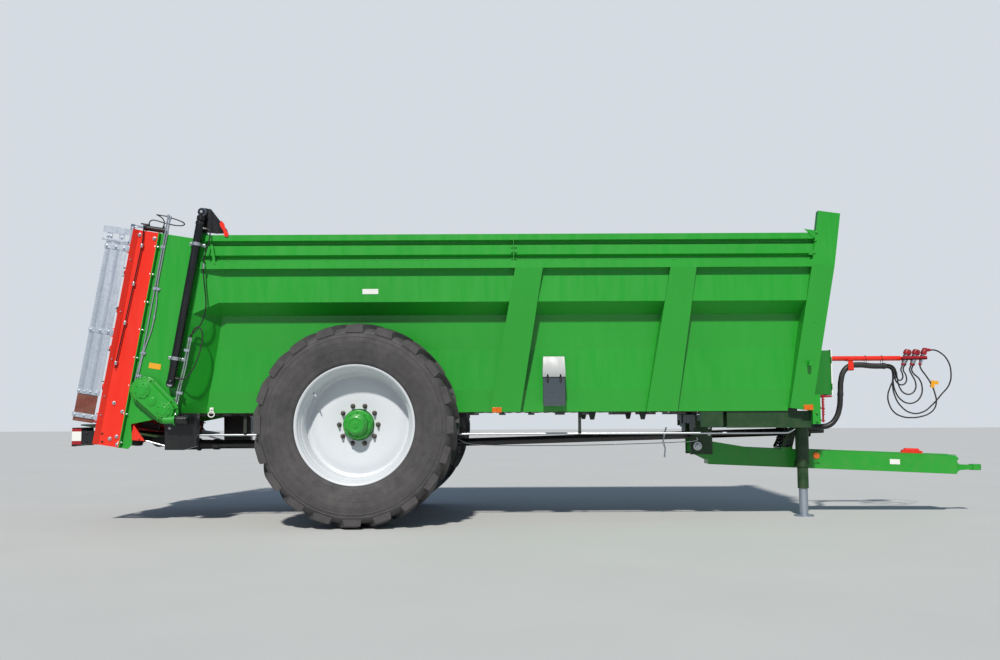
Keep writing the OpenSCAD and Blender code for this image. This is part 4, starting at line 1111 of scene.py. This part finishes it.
# Hoses at the rear, in the leaning frame of the spreading unit
REAR_HOSES = {
    "gate_head_hose": (13, 1.13, [
        (8, 1052, 1790), (34, 1052, 1786), (50, 1052, 1750), (52, 1050, 1690), (44, 1048, 1600),
        (36, 1046, 1510), (42, 1044, 1430), (58, 1040, 1340), (84, 1034, 1240), (112, 1024, 1130),
        (126, 1014, 1030), (118, 1008, 930), (90, 1008, 846), (54, 1010, 790), (28, 1013, 756),
        (20, 1014, 734)]),
    "gate_foot_hose": (13, 0.74, [
        (8, 1052, 330), (46, 1052, 336), (84, 1046, 370), (112, 1036, 430), (132, 1026, 510),
        (144, 1018, 600), (148, 1010, 690), (140, 1006, 770), (116, 1004, 826), (84, 1002, 846),
        (54, 1000, 830), (39, 1000, 790), (36, 1000, 734)]),
    "flap_rear_hose": (11, 0.56, [
        (-600, 920, 1774), (-598, 921, 1796), (-580, 923, 1812), (-540, 926, 1816), (-480, 926, 1808),
        (-420, 924, 1802), (-350, 920, 1798), (-296, 922, 1802), (-258, 938, 1810), (-244, 962, 1820),
        (-254, 984, 1830), (-284, 998, 1838), (-340, 1000, 1848), (-376, 1000, 1852)]),
    "flap_front_hose": (11, 0.28, [
        (-455, 920, 1774), (-455, 920, 1798), (-462, 924, 1826), (-484, 934, 1850), (-508, 952, 1862),
        (-520, 974, 1866), (-508, 992, 1864), (-480, 1000, 1862), (-440, 1000, 1862), (-400, 1000, 1862)]),
}


def hang_hoses():
    """Hangs every hose of both tables, those of the rear on both sides."""
    for name, (d, length, points) in FRONT_HOSES.items():
        if name == "loop_hose":
            hose(name, points, d)
        else:
            hose(name, points, d)
    for name, (d, length, points) in REAR_HOSES.items():
        for tag, side in SIDES:
            place = AXLE.inverted() @ on_side(REAR, side)
            hose(f"{name}_{tag}", [tuple(place @ Vector(p)) for p in points], d)


def make_hose_ends():
    """Ties round the bundle and the arm, and the parked coupling at the rack's end."""
    ties = Shape()
    for x in (5120, 5290):
        ties.swept([(x, ARM_Y + 31 * c, 1571 + 66 * s) for c, s in circle(28, 1)], 5, 6, closed=True)
    for x, z, toward in ((4850, 1235, (0.1, 0, 1)), (4600, 900, AHEAD), (5312, 1526, AHEAD)):
        ties.sleeve(mirrored([(14, 29), (14, 31.5)]), (x, ARM_Y, z), toward, 28)
    piece("hose_ties", ties, "black_plastic", smooth=40)
    end = Shape()
    end.turned([(0, 20), (4, 23), (40, 23), (44, 18), (60, 16), (78, 12), (89, 9)],
               (5723, ARM_Y, 1690), AHEAD, 20)
    piece("end_coupling", end, "coupling_plastic", edge=0.8)
    post = Shape()
    post.prism([(5712, 1610), (5743, 1610), (5743, 1714), (5731, 1714)], ARM_Y - 6, ARM_Y + 6)
    piece("end_coupling_bracket", post, "dark_red_enamel", edge=1.0)


def make_cabinet_and_step():
    """Valve cabinet on the front wall with its door and stay, and the step with toothed treads below it."""
    cabinet = Shape()
    cabinet.prism([(4352, 1222), (4586, 1222), (4586, 1640), (4572, 1656), (4446, 1656)], -728, -422)
    cabinet.block(4586, 4592, -734, -416, 1218, 1662)
    for z in (1300, 1560):
        cabinet.rod((4590, -738, z - 30), (4590, -738, z + 30), 12, 12)
    cabinet.coat = 1
    cabinet.block(4588, 4600, -736, -731, 1216, 1664)
    piece("valve_cabinet_doored", cabinet, ["cabinet_green_enamel", "white_enamel"],
          stands_for=["valve_cabinet"], edge=2.0)
    step = Shape()
    for y in (-728, -448):
        step.block(4492, 4508, y, y + 16, 950, 1220)
        for z in range(1020, 1190, 24):
            step.prism([(4506, z), (4520, z + 9), (4506, z + 18)], y, y + 16)
    for z in (962, 1082, 1200):
        step.prism([(4478, z), (4522, z), (4522, z + 4), (4482, z + 4), (4482, z + 22), (4478, z + 22)],
                   -726, -434)
        for y in range(-716, -440, 34):
            step.prism([(4484, z + 4), (4520, z + 4), (4517, z + 9), (4487, z + 9)], y, y + 12)
    step.block(4492, 4590, -726, -434, 1196, 1214)
    piece("step_treads", step, "dark_red_enamel", stands_for=["ladder"], edge=0.8)
    stay = Shape()
    stay.block(4384, 4462, -770, -762, 934, 1222)
    stay.block(4384, 4392, -762, -600, 934, 1070)
    stay.bolts(4424, -770, (960, 1040), RIGHT, 22)
    piece("cabinet_stay", stay, "green_enamel", edge=1.0)


def make_front_corner(name, side):
    """Gusset plates and bolts at the top of a front corner."""
    corner = Shape(on_side(FRONT, side))
    corner.prism([(-260, 1480), (-214, 1480), (-214, 1540)], 1006, 1010)
    corner.prism([(-330, 1722), (-214, 1722), (-214, 1640)], 1011, 1016)
    corner.block(-212, -4, 952, 1018, 1895, 1900)
    corner.bolts(-208, 1020, (1500, 1620, 1700), OUT, 17)
    piece(f"corner_plates_{name}", corner, "green_enamel", edge=1.0)


def make_front_ribs():
    """Three ribs across the front wall."""
    ribs = Shape(FRONT)
    for w in (420, 840, 1220):
        ribs.block(-116, -84, -935, 935, w, w + 46)
    piece("front_wall_ribs", ribs, "green_enamel", edge=2.0)


# Underframe, drawbar and tool box

SHAFT_REAR = -1790
SPRING_X, COIL_TURNS, COIL_POINTS = 4290, 6, 160


def make_feed_pipes():
    """Pipes under the floor with their clamps, the hoses' bracket, and the hand brake's cable and crank."""
    bracket = Shape()
    # The bracket takes the near-black green that stands for shade under the floor: painted shade.
    bracket.block(4490, 4502, -230, -44, 862, 955)
    piece("hose_bracket", bracket, "underframe_enamel", edge=1.0)
    pipes = Shape()
    for y, d in ((-640, 22), (-600, 16)):
        pipes.swept(bent_pipe([(-1700, y, 820), (-1640, y, 850), (4180, y, 850), (4240, y, 890)], 60), d, 12)
    # The clamps take the near-black green that stands for shade under the floor: painted shade.
    pipes.coat = 1
    for x in (-1200, 900, 2100):
        pipes.block(x, x + 30, -660, -582, 861, 868)
        pipes.block(x, x + 30, -660, -652, 862, 1066)
        pipes.block(x + 2, x + 28, -656, -584, 836, 840)
        pipes.bolts(x + 15, (-652, -620, -588), 868, UP, 11, washer=False)
    piece("feed_pipes", pipes, ["zinc_plated_steel", "underframe_enamel"], stands_for=["steel_pipes"],
          smooth=40)
    cable = Shape()
    cable.swept(smooth_route([(900, -300, 790), (1100, -300, 735), (1900, -300, 722), (2700, -300, 736),
                              (3280, -300, 760), (3330, -300, 800)]), 9, 8)
    cable.swept(smooth_route([(3010, -390, 905), (2990, -394, 840), (2975, -398, 760), (2992, -398, 690),
                              (2985, -398, 610)]), 16, 10)
    cable.rod((2985, -398, 612), (2985, -440, 606), 16, 12)
    piece("brake_cable_and_crank", cable, "zinc_plated_steel", smooth=40)


def make_underframe_side(name, side):
    """Brake chamber with its lever, and the brackets below the floor."""
    chamber = Shape(on_side(AXLE, side))
    chamber.turned([(-70, 20), (-70, 60), (-62, 76), (-4, 80), (-2, 90), (6, 90), (8, 80), (60, 76), (72, 58),
                    (74, 0.1)], (-330, 560, 915), AHEAD, 36)
    chamber.rod((-262, 560, 915), (-120, 560, 915), 18, 12)
    chamber.prism([(-140, 930), (-100, 930), (-90, 850), (-110, 790), (-134, 800)], 548, 572)
    chamber.block(-352, -340, 548, 650, 880, 1110)
    piece(f"brake_chamber_{name}", chamber, "black_enamel", edge=1.5)
    hanger = Shape(on_side(AXLE, side))
    for x in (-300, 2200, 2700):
        hanger.prism([(x, 1066), (x + 80, 1066), (x + 60, 985), (x + 20, 985)], 640, 646)
    # The brackets take the near-black green that stands for shade under the floor: painted shade.
    piece(f"floor_brackets_{name}", hanger, "underframe_enamel", edge=1.0)


def make_rear_shaft():
    """Rear drive shaft: its guard tube, and a universal joint at each end."""
    shaft = Shape()
    start = (SHAFT_REAR, 0, SHAFT_HEIGHT)
    shaft.turned([(0, 25), (70, 25), (70, 45), (2120, 45), (2125, 42)], start, AHEAD, 32)
    shaft.turned([(2120, 45), (2180, 45), (2200, 25), (2312, 25)], start, AHEAD, 32)
    for x in (-1660, 380):
        for toward in (OUT, UP):
            shaft.turned(mirrored([(44, 16), (46, 20)]), (x, 0, SHAFT_HEIGHT), toward, 16)
        shaft.sleeve(mirrored([(34, 46), (34, 54), (14, 56)]), (x, 0, SHAFT_HEIGHT), AHEAD, 32)
    piece("rear_shaft_jointed", shaft, "black_enamel", "drive_shaft_rear", ["drive_shaft_rear"], edge=1.0)


def make_springs():
    """Two coil springs between the drawbar and the subframe, on their seats."""
    springs = Shape()
    for y in (-95, 95):
        coil = [(SPRING_X + u, y + v, 704 + 200 * k / COIL_POINTS) for k in range(COIL_POINTS + 1)
                for u, v in circle(1, 34, 360 * COIL_TURNS * k / COIL_POINTS)]
        springs.swept(coil, 17, 8)
        for z in (690, 908):
            springs.turned([(0, 43), (3, 44), (9, 44), (12, 40)], (SPRING_X, y, z), UP, 32)
        springs.rod((SPRING_X, y, 690), (SPRING_X, y, 920), 30, 16)
    piece("drawbar_coil_springs", springs, "black_enamel", stands_for=["drawbar_springs"], smooth=40)


BEAM_FACE = 110


def make_drawbar_side(name, side):
    """Bolted plate, reflector, blank plate, seams, braces and pivot bolts on one side of the drawbar."""
    place = on_side(AXLE, side)
    plates = Shape(place)
    plates.prism([(4496, 662), (4640, 655), (4640, 520), (4496, 527)], BEAM_FACE, 118)
    plates.prism([(4640, 648), (4648, 520), (4640, 520)], BEAM_FACE, 116)
    for x, z in ((4520, 640), (4616, 636), (4520, 545), (4616, 541)):
        plates.bolt((x, 118, z), OUT, 18)
    piece(f"drawbar_plate_{name}", plates, "green_enamel", edge=1.0)
    mark = Shape(place)
    mark.turned([(0, 36), (8, 36), (12, 32), (14, 0.1)], (4602, 118, 602), OUT, 36)
    piece(f"drawbar_reflector_{name}", mark, "amber_lens", edge=1.0)
    blank = Shape(place)
    blank.prism([(5368, 562), (5472, 558), (5472, 506), (5368, 510)], BEAM_FACE, 112)
    for x, z in ((5378, 552), (5462, 548), (5378, 520), (5462, 516)):
        blank.turned([(0, 4), (1.5, 3)], (x, 112, z), OUT, 10)
    piece(f"drawbar_blank_plate_{name}", blank, "white_enamel")
    seams = Shape(place)
    seams.prism([(3480, 524), (4489, 479), (6062, 412), (6062, 406), (4489, 473), (3480, 518)], 96, 113)
    seams.prism([(4505, 660), (6062, 598), (6062, 604), (4505, 666)], 96, 112)
    piece(f"drawbar_seams_{name}", seams, "green_enamel", edge=1.0)
    brace = Shape(place)
    brace.prism([(4440, 905), (4510, 905), (4400, 500), (4340, 500)], 205, 216)
    brace.prism([(4330, 905), (4390, 905), (4260, 690), (4225, 690)], 150, 160)
    # The braces take the dark copy of the green paint: painted shade.
    piece(f"drawbar_brace_{name}", brace, "shaded_green_enamel", edge=1.5)
    pin = Shape(place)
    pin.sleeve([(188, 46), (196, 46), (200, 42), (200, 26), (190, 26)], (3359, 0, 709), OUT, 36)
    pin.bolt((3359, 190, 709), OUT, 46)
    pin.bolts((3320, 3490), 150, (900, 830), OUT, 26)
    piece(f"drawbar_pivot_bolts_{name}", pin, "zinc_plated_steel", edge=1.0)


def make_drawbar_end():
    """The chock on the drawbar, and the forged towing eye with the beam's welded end behind its flange."""
    chock = Shape()
    chock.prism([(5507, 620), (5737, 611), (5731, 640), (5677, 654), (5527, 658)], -60, -20)
    chock.turned([(0, 18), (150, 18), (154, 12)], (5547, -40, 656), (1, 0, -0.04), 20)
    piece("chock_on_drawbar", chock, "orange_red_enamel", edge=2.0)
    eye = Shape()
    eye.sleeve([(440, 25.5), (440, 57), (444, 60), (496, 60), (500, 57), (500, 25.5)], (6300, 0, 0), UP, 48)
    neck = ((6073, 62, 434, 506), (6140, 48, 442, 498), (6220, 42, 446, 494), (6252, 38, 446, 494))
    beam_end = ((5999, 110, 407, 597), (6062, 110, 404, 594))
    for levels in (neck, beam_end):
        eye.loft([[(x, -h, low), (x, h, low), (x, h, high), (x, -h, high)] for x, h, low, high in levels])
    eye.block(6062, 6076, -98, 98, 422, 583)
    eye.bolts(6076, (-76, 76), (442, 504, 562), AHEAD, 24)
    piece("towing_eye_forged", eye, "green_enamel", stands_for=["tow_eye"], edge=2.0)


def make_tool_box():
    """Stainless tool box on its bracket, with a sloping lid and two black latches."""
    body = Shape()
    body.block(1749, 1962, -952, -796, 1122, 1392)
    body.block(1785, 1926, -797, -742, 1322, 1558)
    piece("tool_box_body", body, "brushed_stainless", stands_for=["tool_box"], edge=3.0)
    lid = Shape()
    lid.tapered((1745, 1966, -960, -790, 1398), (1745, 1966, -960, -790, 1450),
                (1752, 1959, -900, -792, 1598))
    piece("tool_box_lid", lid, "pale_grey_enamel", edge=3.0)
    latches = Shape()
    for x in (1782, 1906):
        latches.prism([(x, 1408), (x + 24, 1408), (x + 24, 1360), (x + 18, 1340), (x + 6, 1340), (x, 1360)],
                      -960, -952)
        latches.block(x + 3, x + 21, -960, -954, 1404, 1424)
    latches.block(1745, 1966, -958, -792, 1390, 1400)
    piece("tool_box_latches", latches, "black_plastic", edge=1.5)


# Makes every piece


def on_both_sides(*makers):
    """Makes pieces that come in pairs, all of the right side first."""
    for name, side in SIDES:
        for make in makers:
            make(name, side)


on_both_sides(make_tyre, make_rim, make_hub)
on_both_sides(make_flap, make_unit_side, make_gate_side)
make_unit_plates()
make_floor_drive()
on_both_sides(make_beater)
make_gearboxes()
on_both_sides(make_lamp_board, make_unit_foot)
on_both_sides(make_hopper_side)
make_chains()
make_arm()
make_rack()
make_hose_ends()
make_cabinet_and_step()
on_both_sides(make_front_corner)
make_front_ribs()
hang_hoses()
make_feed_pipes()
on_both_sides(make_underframe_side)
make_rear_shaft()
make_springs()
on_both_sides(make_drawbar_side)
make_drawbar_end()
make_tool_box()


# Finishes of the CAD nodes that stay in view

NODE_COATS = {
    "green_enamel": (
        "side_wall_right", "side_wall_left", "side_posts", "side_boards", "front_wall", "front_posts",
        "gate_guides", "gate", "drawbar"),
    # Subframe, axle beam, pivot, jack and tray take the dark copy of the green paint: painted shade.
    "shaded_green_enamel": (
        "subframe", "axle_beam", "drawbar_pivot", "jack_tube", "jack_slide", "beater_tray"),
    "orange_red_enamel": ("adapter_frames", "top_beam"),
    "worn_floor_steel": ("floor_deck",),
    "chain_steel": ("floor_slats", "apron_shaft"),
    # Bearers and hangers take the near-black green that stands for shade under the floor: painted shade.
    "underframe_enamel": ("floor_bearers", "shaft_hangers"),
    "black_enamel": ("gate_arms", "gate_barrels", "flap_barrels", "drive_shaft_front"),
    "ground_chrome": ("gate_rods", "flap_rod_right", "flap_rod_left"),
    "galvanised_tube": ("jack_leg",),
}
for coat, names in NODE_COATS.items():
    for name in names:
        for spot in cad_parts[name].material_slots:
            spot.link = "OBJECT"
            spot.material = MATERIALS[coat]
